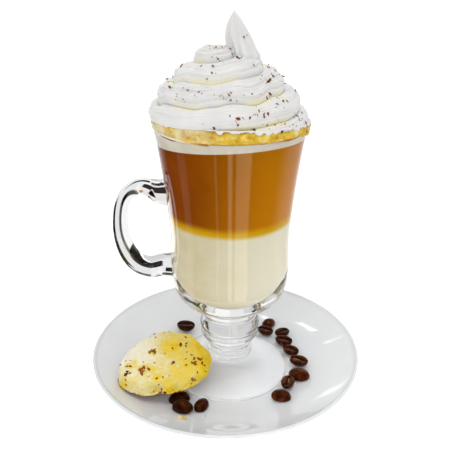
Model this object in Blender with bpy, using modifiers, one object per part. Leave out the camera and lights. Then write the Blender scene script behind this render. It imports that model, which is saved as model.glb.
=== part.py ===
"""A layered coffee with piped cream in its handled glass, on its saucer with a biscuit and coffee beans.

Metres, +Z up. The origin is the centre of the saucer, on the table.
"""

import math
import random

import bmesh
import bpy
from mathutils import Euler, Matrix, Vector, noise
from mathutils.bvhtree import BVHTree

MM = 0.001
GAP = 0.3 * MM
SEED = 5
MERGE = 1e-6

# Saucer
SAUCER_RADIUS = 80.8 * MM
SAUCER_HEIGHT = 20 * MM
WELL_RADIUS = 45 * MM
WELL_TOP = 6.5 * MM
SAUCER_WALL = 3.8 * MM
SAUCER_LIP = 2.3 * MM
FOOT_RING_OUT = 46 * MM
FOOT_RING_IN = 42 * MM
SAUCER_STEPS = 54

# Glass, its axis a little off the middle of the saucer
GLASS_X = 2.5 * MM
GLASS_Y = -4.1 * MM
GLASS_BASE = WELL_TOP + GAP
GLASS_TOP = 159.2 * MM
RIM_RADIUS = 40.1 * MM
WAIST_RADIUS = 33.1 * MM
FLARE_START = 92 * MM
RIM_WALL = 3.0 * MM
BOWL_WALL = 3.5 * MM
GLASS_STEPS = 36

# Handle: how far out from the glass axis, how high, and how thick across, from the top joint to the lower one
HANDLE_ROUTE = [
    (33.6, 121.7, 15.0),
    (38.6, 121.9, 13.4),
    (43.5, 123.6, 10.4),
    (49.5, 124.4, 8.8),
    (55.8, 120.9, 8.0),
    (59.8, 114.0, 8.0),
    (61.4, 103.0, 8.5),
    (60.7, 93.0, 9.2),
    (57.6, 84.0, 10.2),
    (52.4, 78.0, 11.2),
    (45.5, 75.6, 12.0),
    (38.5, 77.0, 12.6),
    (31.4, 77.2, 14.0),
]
HANDLE_BREADTH = 1.18

# Drink, as heights at the wall of the glass
MILK_TOP = 108.5 * MM
COFFEE_TOP = 150.3 * MM
FOAM_TOP = 158.9 * MM
FROTH_MIDDLE = 163.2 * MM
FROTH_SIDE_TILT = -1.2 / 41
FROTH_FRONT_TILT = 2.4 / 41
FROTH_RADIUS = 41.4 * MM
FROTH_SKIRT = GLASS_TOP - 0.2 * MM
SPILL_DEPTH = 6.2 * MM
BUBBLE_HEIGHT = 0.5 * MM
BUBBLE_PITCH = 4.3

# Piped cream: one rope laid in rising turns, each turn a lobe between two grooves
CREAM_SHIFT = -1.5 * MM
CREAM_DRIFT = -1.0 * MM
FIRST_TURN = -0.8
LAST_TURN = 4.0
TURN_STEPS = 30
LOBE_ROWS = 8
LOBE_DEPTH = 3.7 * MM
CURL_TURN = 3.42
CURL_DEPTH = 6.0 * MM
FLUTE_DEPTH = 0.4 * MM
PEAK_SIDES = 14
PEAK_STATIONS = [
    (6.5, 188.0, 15.0, 13.0),
    (6.6, 194.0, 17.4, 15.0),
    (5.4, 198.5, 14.6, 12.6),
    (4.0, 202.6, 13.2, 9.8),
    (3.0, 206.0, 11.2, 7.8),
    (2.3, 209.0, 8.8, 5.8),
    (2.0, 212.0, 5.2, 3.8),
    (1.7, 214.6, 1.4, 1.2),
    (1.6, 215.6, 0.4, 0.4),
]
FLAKE_COUNT = 60
FLAKE_SPACING = 3.6 * MM
FLAKE_THICKNESS = 1.3 * MM
FLAKE_LENGTHS = (1.8 * MM, 3.4 * MM)
FLAKE_HEIGHTS = (167 * MM, 197 * MM)

# Biscuit, resting on the slope of the saucer, the foot of the glass and a bean
COOKIE_PLACE = (-36.6 * MM, -18.1 * MM, 17.5 * MM)
COOKIE_LENGTH = 58 * MM
COOKIE_WIDTH = 46 * MM
COOKIE_RISE = 14.2 * MM
COOKIE_BASE = 4.5 * MM
COOKIE_TURN = math.radians(28.5)
COOKIE_LEAN = math.radians(4)
COOKIE_TIP = math.radians(1.4)
# Each chip's place over the biscuit, as shares of its half length and half width
CHIP_SPOTS = [
    (-0.19, -0.17), (-0.5, -0.43), (-0.6, -0.44), (-0.8, -0.23), (-0.69, -0.3), (0.29, -0.15),
    (0.4, -0.19), (0.54, 0.0), (0.35, -0.68), (0.48, -0.65), (0.0, -0.54), (-0.31, -0.78),
    (-0.5, -0.62), (0.16, 0.3), (-0.3, 0.35), (0.5, 0.45),
]

# Coffee beans: place on the saucer, turn, size, and whether the crease shows on top
BEAN_LENGTH = 11.4 * MM
BEAN_WIDTH = 8.2 * MM
BEAN_BACK = 4.1 * MM
BEAN_FACE = 1.5 * MM
CREASE_DEPTH = 1.1 * MM
BEANS = [
    (29.2, 39.8, 40, 0.90, False),
    (26.6, 30.4, 150, 0.95, True),
    (37.6, 27.4, 25, 0.90, True),
    (38.0, 18.2, -25, 1.00, True),
    (41.6, 7.8, -30, 0.94, True),
    (45.4, -4.2, -20, 1.00, True),
    (44.4, -16.4, -12, 1.12, False),
    (36.8, -24.8, 70, 0.95, True),
    (32.2, -35.8, -12, 1.00, False),
    (-27.1, 34.6, -10, 1.08, True),
    (-26.0, -38.0, 15, 1.08, False),
    (-23.4, -47.4, -14, 1.06, False),
    (-13.2, -43.6, 60, 0.92, False),
]


def clear_scene():
    for obj in list(bpy.data.objects):
        bpy.data.objects.remove(obj, do_unlink=True)


def make_collection(name):
    collection = bpy.data.collections.new(name)
    bpy.context.scene.collection.children.link(collection)
    return collection


def material(name, colour, roughness, transmission=0.0, ior=1.45):
    made = bpy.data.materials.new(name)
    made.use_nodes = True
    shader = made.node_tree.nodes["Principled BSDF"]
    shader.inputs["Base Color"].default_value = (*colour, 1.0)
    shader.inputs["Roughness"].default_value = roughness
    shader.inputs["Metallic"].default_value = 0.0
    shader.inputs["Transmission Weight"].default_value = transmission
    shader.inputs["IOR"].default_value = ior
    made.diffuse_color = (*colour, 1.0)
    return made


def new_object(name, mesh, collection, surface=None):
    obj = bpy.data.objects.new(name, mesh)
    collection.objects.link(obj)
    if surface:
        mesh.materials.append(surface)
    return obj


def mesh_from_bmesh(name, bm):
    mesh = bpy.data.meshes.new(name)
    bm.to_mesh(mesh)
    bm.free()
    return mesh


def applied(obj):
    """Replaces the object's mesh with what its modifiers make of it."""
    graph = bpy.context.evaluated_depsgraph_get()
    made = bpy.data.meshes.new_from_object(obj.evaluated_get(graph), depsgraph=graph)
    old = obj.data
    obj.modifiers.clear()
    obj.data = made
    if old.users == 0 and isinstance(old, bpy.types.Mesh):
        bpy.data.meshes.remove(old)
    return obj


def turned(name, profile, steps, collection, surface):
    """A solid of revolution. The profile runs from the axis over the top and down the outer side."""
    mesh = bpy.data.meshes.new(name)
    edges = [(i, i + 1) for i in range(len(profile) - 1)]
    mesh.from_pydata([(r, 0.0, z) for r, z in profile], edges, [])
    obj = new_object(name, mesh, collection, surface)
    screw = obj.modifiers.new("Turn", "SCREW")
    screw.angle = math.tau
    screw.steps = steps
    screw.render_steps = steps
    screw.use_merge_vertices = True
    screw.merge_threshold = MERGE
    return obj


def smooth_shade(obj, angle=40):
    obj.data.shade_smooth()
    obj.data.set_sharp_from_angle(angle=math.radians(angle))


def interpolate(stations, where):
    """The values of the stations, given as rising (key, values...) rows, at this key."""
    if where <= stations[0][0]:
        return stations[0][1:]
    for low, high in zip(stations, stations[1:]):
        if where <= high[0]:
            share = (where - low[0]) / (high[0] - low[0])
            return tuple(a + (b - a) * share for a, b in zip(low[1:], high[1:]))
    return stations[-1][1:]


# Saucer


def saucer_top(radius):
    """Height of the saucer's upper face: a flat well, then a slope that steepens to the rim."""
    if radius <= WELL_RADIUS:
        return WELL_TOP
    share = (radius - WELL_RADIUS) / (SAUCER_RADIUS - WELL_RADIUS)
    return WELL_TOP + (SAUCER_HEIGHT - WELL_TOP) * share**1.6


def saucer_profile():
    slope = [WELL_RADIUS + (SAUCER_RADIUS - 1.6 * MM - WELL_RADIUS) * i / 5 for i in range(6)]
    upper = [(0.0, WELL_TOP)] + [(r, saucer_top(r)) for r in slope]
    lip = [
        (SAUCER_RADIUS - 1.3 * MM, SAUCER_HEIGHT),
        (SAUCER_RADIUS - 0.4 * MM, SAUCER_HEIGHT - 0.3 * MM),
        (SAUCER_RADIUS, SAUCER_HEIGHT - 1.1 * MM),
        (SAUCER_RADIUS - 0.7 * MM, SAUCER_HEIGHT - SAUCER_LIP),
    ]
    below = []
    for r in slope[4:1:-1]:
        share = (r - WELL_RADIUS) / (SAUCER_RADIUS - WELL_RADIUS)
        wall = SAUCER_WALL + (SAUCER_LIP - SAUCER_WALL) * share
        below.append((r + 0.6 * MM, saucer_top(r) - wall))
    ring = [
        (FOOT_RING_OUT + 1.2 * MM, 2.4 * MM),
        (FOOT_RING_OUT, 0.0),
        (FOOT_RING_IN, 0.0),
        (FOOT_RING_IN - 1.2 * MM, 2.2 * MM),
        (0.0, 2.8 * MM),
    ]
    return upper[:-1] + lip + below + ring


# Glass


def bowl_radius(height):
    """Outer radius of the glass above its waist, flaring to the rim."""
    if height <= FLARE_START:
        return WAIST_RADIUS
    share = (height - FLARE_START) / (GLASS_TOP - FLARE_START)
    return WAIST_RADIUS + (RIM_RADIUS - WAIST_RADIUS) * share**1.5


def inner_radius(height):
    """Inner radius of the bowl, from its round bottom to the rim."""
    if height >= FLARE_START:
        share = (height - FLARE_START) / (GLASS_TOP - FLARE_START)
        return bowl_radius(height) - BOWL_WALL + (BOWL_WALL - RIM_WALL) * share
    lower = [
        (57.2, 0.01), (57.7, 8.0), (59.5, 14.0), (62.5, 18.7), (66.5, 22.7),
        (71.5, 26.0), (78.0, 28.4), (85.0, 29.4), (92.0, 29.6),
    ]
    return interpolate(lower, height / MM)[0] * MM


BOWL_FLOOR = 57.2 * MM
INNER_HEIGHTS = [57.7, 59.5, 62.5, 66.5, 71.5, 78.0, 85.0, 92.0, 108.0, 122.0, 134.0, 145.0, 156.0]
STEM = [
    (33.2, 90.0), (33.5, 80.0), (33.3, 71.5), (31.8, 64.5), (27.8, 58.6), (22.0, 55.4), (17.4, 52.0),
    (16.1, 47.5), (16.1, 43.2),
    (17.3, 39.6), (17.5, 36.2), (16.6, 32.6), (13.9, 29.8), (14.0, 28.2), (12.2, 25.6), (11.8, 22.6),
    (13.2, 19.4), (13.0, 17.2), (15.0, 15.4), (20.0, 13.4), (33.0, 9.8), (34.8, 8.6),
]


def glass_profile():
    inner = [(0.0, BOWL_FLOOR)] + [(inner_radius(h * MM), h * MM) for h in INNER_HEIGHTS]
    rim = [
        (RIM_RADIUS - RIM_WALL + 0.6 * MM, GLASS_TOP - 0.5 * MM),
        (RIM_RADIUS - 1.4 * MM, GLASS_TOP),
        (RIM_RADIUS - 0.2 * MM, GLASS_TOP - 1.0 * MM),
    ]
    flare = [(bowl_radius(h * MM), h * MM) for h in (153, 145, 135, 124, 112, 100)]
    stem = [(r * MM, z * MM) for r, z in STEM]
    foot = [
        (34.6 * MM, GLASS_BASE + 0.5 * MM),
        (33.6 * MM, GLASS_BASE),
        (24.0 * MM, GLASS_BASE),
        (18.0 * MM, GLASS_BASE + 1.0 * MM),
        (0.0, GLASS_BASE + 1.6 * MM),
    ]
    return inner + rim + flare + stem + foot


def handle_mesh():
    """The handle as a tube of changing thickness, a little broader than it is thick, with welded ends."""
    curve = bpy.data.curves.new("handle_route", "CURVE")
    curve.dimensions = "3D"
    curve.resolution_u = 2
    curve.bevel_depth = 1.0
    curve.bevel_resolution = 3
    curve.use_fill_caps = True
    spline = curve.splines.new("BEZIER")
    spline.bezier_points.add(len(HANDLE_ROUTE) - 1)
    for point, (out, height, thick) in zip(spline.bezier_points, HANDLE_ROUTE):
        point.co = (-out * MM, 0.0, height * MM)
        point.radius = thick * MM / 2
        point.handle_left_type = "AUTO"
        point.handle_right_type = "AUTO"
    guide = bpy.data.objects.new("handle_route", curve)
    bpy.context.scene.collection.objects.link(guide)
    graph = bpy.context.evaluated_depsgraph_get()
    mesh = bpy.data.meshes.new_from_object(guide.evaluated_get(graph), depsgraph=graph)
    bpy.data.objects.remove(guide, do_unlink=True)
    bm = bmesh.new()
    bm.from_mesh(mesh)
    bpy.data.meshes.remove(mesh)
    bmesh.ops.remove_doubles(bm, verts=bm.verts, dist=MERGE)
    bmesh.ops.scale(bm, vec=(1.0, HANDLE_BREADTH, 1.0), verts=bm.verts)
    bmesh.ops.recalc_face_normals(bm, faces=bm.faces)
    return mesh_from_bmesh("handle", bm)


def build_glass(parts, cutters, axis, surface):
    glass = turned("glass", glass_profile(), GLASS_STEPS, parts, surface)
    applied(glass)
    handle = new_object("handle_piece", handle_mesh(), cutters)
    join = glass.modifiers.new("Handle", "BOOLEAN")
    join.operation = "UNION"
    join.solver = "EXACT"
    join.object = handle
    applied(glass)
    bpy.data.objects.remove(handle, do_unlink=True)
    smooth_shade(glass)
    glass.parent = axis
    return glass


# Drink


def coffee_height(x, y):
    """Height of the coffee's uneven upper face under the foam, at a place in the glass."""
    reach = math.hypot(x, y) / inner_radius(COFFEE_TOP)
    angle = math.atan2(y, x)
    wave = 2.3 * math.cos(angle) - 2.2 * math.sin(angle) - 1.0 * math.cos(2 * angle)
    return COFFEE_TOP + wave * reach * MM


def froth_height(x, y):
    """Height of the froth's upper face, which the cream rests on."""
    return FROTH_MIDDLE + FROTH_SIDE_TILT * x - FROTH_FRONT_TILT * y


def shape_meeting(piece, is_meeting, lift):
    """Gives a layer's flat face the uneven form where coffee and foam meet, out to the wall of the glass."""
    for vertex in piece.data.vertices:
        x, y, z = vertex.co
        if not is_meeting(z):
            continue
        height = coffee_height(x, y) + lift
        reach = math.hypot(x, y)
        at_wall = reach > inner_radius(COFFEE_TOP) - 2 * GAP
        stretch = (inner_radius(height) - GAP) / reach if at_wall else 1.0
        vertex.co = (x * stretch, y * stretch, height)


def build_drink(parts, axis, milk_look, coffee_look, foam_look):
    def fit(height):
        return inner_radius(height) - GAP

    floor = BOWL_FLOOR + GAP
    low = [(fit(h * MM + GAP), h * MM + GAP) for h in INNER_HEIGHTS[7:0:-1]]
    milk = [(0.0, MILK_TOP), (fit(MILK_TOP), MILK_TOP)] + low + [(0.0, floor)]
    made = [turned("milk", milk, GLASS_STEPS, parts, milk_look)]

    lowest = MILK_TOP + GAP
    sides = [COFFEE_TOP, 145 * MM, 134 * MM, 122 * MM, lowest]
    middle = fit(COFFEE_TOP) / 2
    coffee = [(0.0, COFFEE_TOP), (middle, COFFEE_TOP)] + [(fit(h), h) for h in sides] + [(0.0, lowest)]
    coffee_piece = applied(turned("coffee", coffee, GLASS_STEPS, parts, coffee_look))
    shape_meeting(coffee_piece, lambda z: z > COFFEE_TOP - MERGE, 0.0)
    made.append(coffee_piece)

    top_ring = fit(FOAM_TOP)
    foam = [(0.0, FOAM_TOP), (top_ring, FOAM_TOP), (fit(COFFEE_TOP), COFFEE_TOP)]
    foam += [(middle, COFFEE_TOP), (0.0, COFFEE_TOP)]
    foam_piece = applied(turned("foam", foam, GLASS_STEPS, parts, foam_look))
    shape_meeting(foam_piece, lambda z: z < COFFEE_TOP + MERGE, GAP)
    made.append(foam_piece)
    for piece in made:
        if piece.name != "milk":
            smooth_shade(piece)
        piece.parent = axis


def spill_height(angle):
    """How low the froth hangs down the outside of the glass, most on the side away from the handle."""
    return FROTH_SKIRT - SPILL_DEPTH * max(0.0, math.cos(angle)) ** 10


def build_froth(parts, axis, surface):
    """A puffed collar on the rim, bubbly at its edge, its skirt hanging just outside the glass."""
    clear = RIM_RADIUS + GAP + 0.1 * MM
    base = GLASS_TOP + GAP
    depth = FROTH_MIDDLE - FROTH_SKIRT
    profile = [
        (0.0, FROTH_MIDDLE),
        (FROTH_RADIUS * 0.6, FROTH_MIDDLE),
        (FROTH_RADIUS - 1.6 * MM, FROTH_MIDDLE),
        (FROTH_RADIUS - 0.2 * MM, FROTH_SKIRT + 0.8 * depth),
        (FROTH_RADIUS, FROTH_SKIRT + 0.4 * depth),
        (FROTH_RADIUS - 0.1 * MM, FROTH_SKIRT + 0.1 * depth),
        (clear, FROTH_SKIRT),
        (clear, base),
        (0.0, base),
    ]
    froth = applied(turned("froth", profile, GLASS_STEPS, parts, surface))
    for vertex in froth.data.vertices:
        x, y, z = vertex.co
        if abs(z - base) < MERGE:
            continue
        reach = math.hypot(x, y)
        angle = math.atan2(y, x)
        share = (z - FROTH_SKIRT) / depth
        lowest = spill_height(angle)
        vertex.co.z = lowest + share * (froth_height(x, y) - lowest)
        if 0.05 < share < 0.95:
            place = Vector((math.cos(angle), math.sin(angle), share * 0.4))
            push = 1.0 + BUBBLE_HEIGHT * noise.noise(place * BUBBLE_PITCH) / reach
            vertex.co.x = x * push
            vertex.co.y = y * push
    smooth_shade(froth)
    froth.parent = axis


# Piped cream


def groove(turns):
    """(radius, height) of the groove under the rope after this many turns of it."""
    gone = turns - 0.5
    radius = 38.8 - (3.1 * gone + 1.75 * gone**2 if gone > 0 else gone)
    height = 160.8 + 11.6 * gone - 0.7 * gone * abs(gone)
    tilt = 1.0 - math.cos(math.tau * gone)
    return max(radius, 0.6) * MM, min(height + tilt, 196.0) * MM


def lobe_point(turns, row):
    """A point of the rope's outer face: which turn, and how far up between its two grooves."""
    low = Vector(groove(turns))
    high = Vector(groove(turns + 1))
    chord = high - low
    outward = Vector((chord.y, -chord.x)).normalized()
    share = row / LOBE_ROWS
    curl = math.exp(-(((turns - CURL_TURN) / 0.3) ** 2))
    depth = LOBE_DEPTH + (CURL_DEPTH - LOBE_DEPTH) * curl
    bulge = depth * (1 - abs(2 * share - 1) ** 2.3) ** 0.7
    flute = FLUTE_DEPTH * (1 if row % 2 else -1) if 0 < row < LOBE_ROWS else 0.0
    return low + chord * share + outward * (bulge + flute)


def swirl_mesh():
    """The rope's turns as one helical strip, closed above, and cut flat where it rests on the froth."""
    bm = bmesh.new()
    count = round((LAST_TURN - FIRST_TURN) * TURN_STEPS)
    bmesh.ops.create_grid(bm, x_segments=count, y_segments=LOBE_ROWS, size=0.5)
    for vertex in bm.verts:
        step = round((vertex.co.x + 0.5) * count)
        row = round((vertex.co.y + 0.5) * LOBE_ROWS)
        turns = FIRST_TURN + step / TURN_STEPS
        radius, height = lobe_point(turns, row)
        angle = math.tau * turns
        shift = CREAM_SHIFT + CREAM_DRIFT * max(0.0, turns + row / LOBE_ROWS - 0.5)
        vertex.co = (shift + radius * math.cos(angle), radius * math.sin(angle), height)
    bmesh.ops.remove_doubles(bm, verts=bm.verts, dist=1e-5)
    cut = Vector((0.0, 0.0, FROTH_MIDDLE + GAP))
    slope = Vector((-FROTH_SIDE_TILT, FROTH_FRONT_TILT, 1.0)).normalized()
    everything = bm.verts[:] + bm.edges[:] + bm.faces[:]
    bmesh.ops.bisect_plane(bm, geom=everything, plane_co=cut, plane_no=slope, clear_inner=True, dist=1e-7)
    bmesh.ops.holes_fill(bm, edges=[edge for edge in bm.edges if edge.is_boundary], sides=0)
    bmesh.ops.recalc_face_normals(bm, faces=bm.faces)
    return mesh_from_bmesh("swirl", bm)


def peak_mesh():
    """The pulled tip of the rope: a fluted column that narrows and leans to its point."""
    bm = bmesh.new()
    bmesh.ops.create_cone(
        bm, cap_ends=True, segments=PEAK_SIDES, radius1=0.5, radius2=0.5, depth=1.0
    )
    upright = [edge for edge in bm.edges if abs(edge.verts[0].co.z - edge.verts[1].co.z) > 0.5]
    rings = len(PEAK_STATIONS)
    bmesh.ops.subdivide_edges(bm, edges=upright, cuts=rings - 2, use_grid_fill=True)
    for vertex in bm.verts:
        ring = round((vertex.co.z + 0.5) * (rings - 1))
        middle, height, width, depth = PEAK_STATIONS[ring]
        side = round(math.atan2(vertex.co.y, vertex.co.x) / math.tau * PEAK_SIDES)
        flute = 1.0 if side % 2 else 0.86
        angle = math.tau * side / PEAK_SIDES
        vertex.co.x = (middle + 0.5 * width * flute * math.cos(angle)) * MM
        vertex.co.y = 0.5 * depth * flute * math.sin(angle) * MM - 1.0 * MM
        vertex.co.z = height * MM
    bmesh.ops.recalc_face_normals(bm, faces=bm.faces)
    return mesh_from_bmesh("peak", bm)


def united(obj, others, solver):
    """Joins the others to the object for good, by one Boolean union on their collection."""
    join = obj.modifiers.new("Join", "BOOLEAN")
    join.operation = "UNION"
    join.solver = solver
    join.operand_type = "COLLECTION"
    join.collection = others
    applied(obj)
    for other in list(others.objects):
        bpy.data.objects.remove(other, do_unlink=True)
    bpy.data.collections.remove(others)


def flake_mesh(length):
    """A shaved sliver of chocolate, half as wide as it is long and narrower at one end."""
    bm = bmesh.new()
    bmesh.ops.create_cube(bm, size=1.0)
    for vertex in bm.verts:
        taper = 0.6 if vertex.co.x > 0 else 1.0
        x, y, z = vertex.co
        vertex.co = (x * length, y * 0.5 * length * taper, z * FLAKE_THICKNESS)
    return mesh_from_bmesh("flake", bm)


def build_flakes(cream, holder):
    """Slivers on the cream, more of them on the side away from the handle, by a seeded rule."""
    draw = random.Random(SEED)
    bm = bmesh.new()
    bm.from_mesh(cream.data)
    tree = BVHTree.FromBMesh(bm)
    bm.free()
    placed = []
    while len(placed) < FLAKE_COUNT:
        angle = math.radians(draw.gauss(-45, 75))
        height = draw.uniform(*FLAKE_HEIGHTS)
        start = Vector((90 * MM * math.cos(angle), 90 * MM * math.sin(angle), height + 30 * MM))
        aim = Vector((CREAM_SHIFT, 0.0, height - 12 * MM)) - start
        spot, normal, _, _ = tree.ray_cast(start, aim.normalized())
        if spot is None or spot.z < froth_height(spot.x, spot.y) + 3 * MM:
            continue
        if any((spot - other).length < FLAKE_SPACING for other in placed):
            continue
        placed.append(spot)
        mesh = flake_mesh(draw.uniform(*FLAKE_LENGTHS))
        new_object("flake", mesh, holder)
        upright = normal.to_track_quat("Z", "Y").to_matrix().to_4x4()
        turn = Matrix.Rotation(draw.uniform(0, math.tau), 4, "Z")
        mesh.transform(Matrix.Translation(spot) @ upright @ turn)


def build_cream(parts, axis, surface):
    cream = new_object("cream", swirl_mesh(), parts, surface)
    tips = make_collection("cream_peak")
    new_object("peak", peak_mesh(), tips)
    united(cream, tips, "EXACT")
    flakes = make_collection("cream_flakes")
    build_flakes(cream, flakes)
    united(cream, flakes, "MANIFOLD")
    smooth_shade(cream, 50)
    cream.parent = axis


# Biscuit


def cookie_outline(angle):
    """Stretch of the biscuit's edge in this direction, which makes its plan a lopsided oval."""
    return 1.0 - 0.05 * math.cos(2 * angle) - 0.09 * math.sin(angle) - 0.04 * math.cos(3 * angle)


def cookie_surface(direction):
    """A point of the crust in a direction of the unit ball: domed above, shallow below, crumbly all over."""
    x, y, z = direction
    angle = math.atan2(y, x)
    spread = cookie_outline(angle)
    rough = noise.fractal(Vector((x * 2.6, y * 2.1, z * 1.6 + 3.1)), 0.9, 2.1, 3)
    reach = math.hypot(x, y) ** 0.82 / max(math.hypot(x, y), 1e-9)
    rise = COOKIE_RISE if z > 0 else COOKIE_BASE
    grow = 1.0 + 0.05 * rough
    return Vector((
        x * reach * spread * grow * COOKIE_LENGTH / 2,
        y * reach * spread * grow * COOKIE_WIDTH / 2,
        z * rise + 0.9 * rough * MM * (1.0 if z > 0 else 0.3),
    ))


def build_cookie(parts, surface):
    bm = bmesh.new()
    bmesh.ops.create_uvsphere(bm, u_segments=26, v_segments=12, radius=1.0)
    for vertex in bm.verts:
        vertex.co = cookie_surface(vertex.co.normalized())
    cookie = new_object("cookie", mesh_from_bmesh("cookie", bm), parts, surface)
    chips = make_collection("cookie_chips")
    draw = random.Random(SEED + 1)
    for across, back in CHIP_SPOTS:
        up = math.sqrt(1 - across**2 - back**2)
        spot = cookie_surface(Vector((across, back, up)))
        bm = bmesh.new()
        bmesh.ops.create_icosphere(bm, subdivisions=1, radius=draw.uniform(1.2, 1.9) * MM)
        for vertex in bm.verts:
            vertex.co += spot
        new_object("chip", mesh_from_bmesh("chip", bm), chips)
    united(cookie, chips, "MANIFOLD")
    smooth_shade(cookie, 50)
    cookie.location = COOKIE_PLACE
    cookie.rotation_euler = Euler((COOKIE_TIP, -COOKIE_LEAN, COOKIE_TURN))


# Coffee beans


def bean_mesh():
    """A bean with a round back, a flat face and a crease along it. Its length is along X, its back up."""
    bm = bmesh.new()
    bmesh.ops.create_uvsphere(bm, u_segments=12, v_segments=6, radius=1.0)
    bmesh.ops.rotate(bm, verts=bm.verts, cent=(0, 0, 0), matrix=Matrix.Rotation(math.pi / 2, 3, "Y"))
    for vertex in bm.verts:
        x, y, z = vertex.co
        if z < -0.25 and abs(y) > 0.02:
            y *= 0.62
        deep = CREASE_DEPTH if z < -0.2 and abs(y) < 0.02 else 0.0
        height = z * BEAN_BACK if z > 0 else max(z, -0.75) * BEAN_FACE + deep
        vertex.co = (x * BEAN_LENGTH / 2, y * BEAN_WIDTH / 2, height)
    return mesh_from_bmesh("bean", bm)


def build_beans(parts, surface):
    mesh = bean_mesh()
    mesh.materials.append(surface)
    mesh.shade_smooth()
    mesh.set_sharp_from_angle(angle=math.radians(50))
    for number, (x, y, turn, size, crease_up) in enumerate(BEANS, 1):
        bean = bpy.data.objects.new(f"bean_{number:02d}", mesh)
        parts.objects.link(bean)
        bean.rotation_euler = Euler((math.pi if crease_up else 0.0, 0.0, math.radians(turn)))
        bean.scale = (size, size, size)
        lift = size * (BEAN_BACK if crease_up else 0.75 * BEAN_FACE)
        reach = math.hypot(x, y) * MM + 0.35 * BEAN_LENGTH
        bean.location = (x * MM, y * MM, saucer_top(reach) + GAP + lift)


def main():
    clear_scene()
    parts = make_collection("cappuccino_with_cream")
    cutters = make_collection("cutters")
    porcelain = material("white porcelain", (0.86, 0.87, 0.87), 0.12)
    clear_glass = material("clear glass", (0.95, 0.97, 0.97), 0.02, 1.0, 1.5)
    milk_look = material("milk", (0.80, 0.72, 0.55), 0.25)
    coffee_look = material("milky coffee", (0.34, 0.12, 0.02), 0.2)
    foam_look = material("milk foam", (0.62, 0.55, 0.44), 0.6)
    froth_look = material("golden froth", (0.72, 0.52, 0.20), 0.55)
    cream_look = material("whipped cream", (0.90, 0.89, 0.86), 0.5)
    crust = material("baked crust", (0.80, 0.62, 0.30), 0.8)
    roast = material("roast bean", (0.06, 0.02, 0.01), 0.35)

    saucer = turned("saucer", saucer_profile(), SAUCER_STEPS, parts, porcelain)
    smooth_shade(applied(saucer))
    axis = bpy.data.objects.new("glass_axis", None)
    axis.location = (GLASS_X, GLASS_Y, 0.0)
    parts.objects.link(axis)
    build_glass(parts, cutters, axis, clear_glass)
    build_drink(parts, axis, milk_look, coffee_look, foam_look)
    build_froth(parts, axis, froth_look)
    build_cream(parts, axis, cream_look)
    build_cookie(parts, crust)
    build_beans(parts, roast)


main()
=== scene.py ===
"""Looks of a layered coffee with piped cream in its handled glass, on its saucer with a biscuit and beans."""

import math
import random

import bmesh
import bpy
from mathutils import Euler, Matrix, Vector, noise
from mathutils.bvhtree import BVHTree


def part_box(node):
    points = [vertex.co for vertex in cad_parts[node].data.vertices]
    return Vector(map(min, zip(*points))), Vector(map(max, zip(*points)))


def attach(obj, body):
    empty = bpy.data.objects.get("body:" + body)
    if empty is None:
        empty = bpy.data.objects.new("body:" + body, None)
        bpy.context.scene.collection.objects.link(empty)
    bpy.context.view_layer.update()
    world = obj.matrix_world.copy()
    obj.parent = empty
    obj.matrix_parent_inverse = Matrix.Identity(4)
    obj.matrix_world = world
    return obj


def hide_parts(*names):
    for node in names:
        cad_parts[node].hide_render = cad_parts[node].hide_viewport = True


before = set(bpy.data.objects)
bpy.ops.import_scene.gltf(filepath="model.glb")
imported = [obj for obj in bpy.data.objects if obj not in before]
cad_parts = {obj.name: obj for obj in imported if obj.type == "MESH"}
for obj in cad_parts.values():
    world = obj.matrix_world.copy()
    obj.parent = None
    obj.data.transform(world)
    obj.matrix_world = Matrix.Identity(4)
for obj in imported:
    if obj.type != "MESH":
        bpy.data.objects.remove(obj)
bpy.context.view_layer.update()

MM = 0.001
MERGE = 1e-6
TOUCH = 0.05 * MM
SOAK = 0.2 * MM
SEED = 5

# Places read from the frame
SAUCER_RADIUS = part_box("saucer")[1].y - 0.01 * MM
SAUCER_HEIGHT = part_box("saucer")[1].z
GLASS_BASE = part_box("glass")[0].z
GLASS_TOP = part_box("glass")[1].z

# Saucer
WELL_RADIUS = 45 * MM
WELL_TOP = 6.5 * MM
SAUCER_WALL = 3.8 * MM
SAUCER_LIP = 2.3 * MM
LIP_BREADTH = 1.9 * MM
SAUCER_CURVE = 1.6
SAUCER_STEPS = 180
SLOPE_STEPS = 16
# The lip in millimetres from the saucer's edge, and the foot ring below as (radius, height)
LIP_LINE = [(-1.2, -0.1), (-0.3, -0.4), (0.0, -1.2), (-0.7, -2.3)]
FOOT_RING = [
    (47.2, 2.4), (46.6, 0.8), (45.8, 0.1), (45.2, 0.0), (42.6, 0.0), (42.0, 0.2), (40.8, 2.2), (0.0, 2.8),
]

# Glass
GLASS_X = 2.5 * MM
GLASS_Y = -4.1 * MM
RIM_RADIUS = 40.1 * MM
WAIST_RADIUS = 33.1 * MM
FLARE_START = 92 * MM
FLARE_CURVE = 1.5
RIM_WALL = 3.0 * MM
BOWL_WALL = 3.5 * MM
BOWL_FLOOR = 57.2 * MM
STEM_LOW = 18.6 * MM
STEM_HIGH = 56 * MM
GLASS_STEPS = 144
INNER_TOP = 156 * MM
# Heights in millimetres at which the flare's outer face is drawn
FLARE_HEIGHTS = (154, 148, 141, 133, 124, 114, 103, 96)
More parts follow.
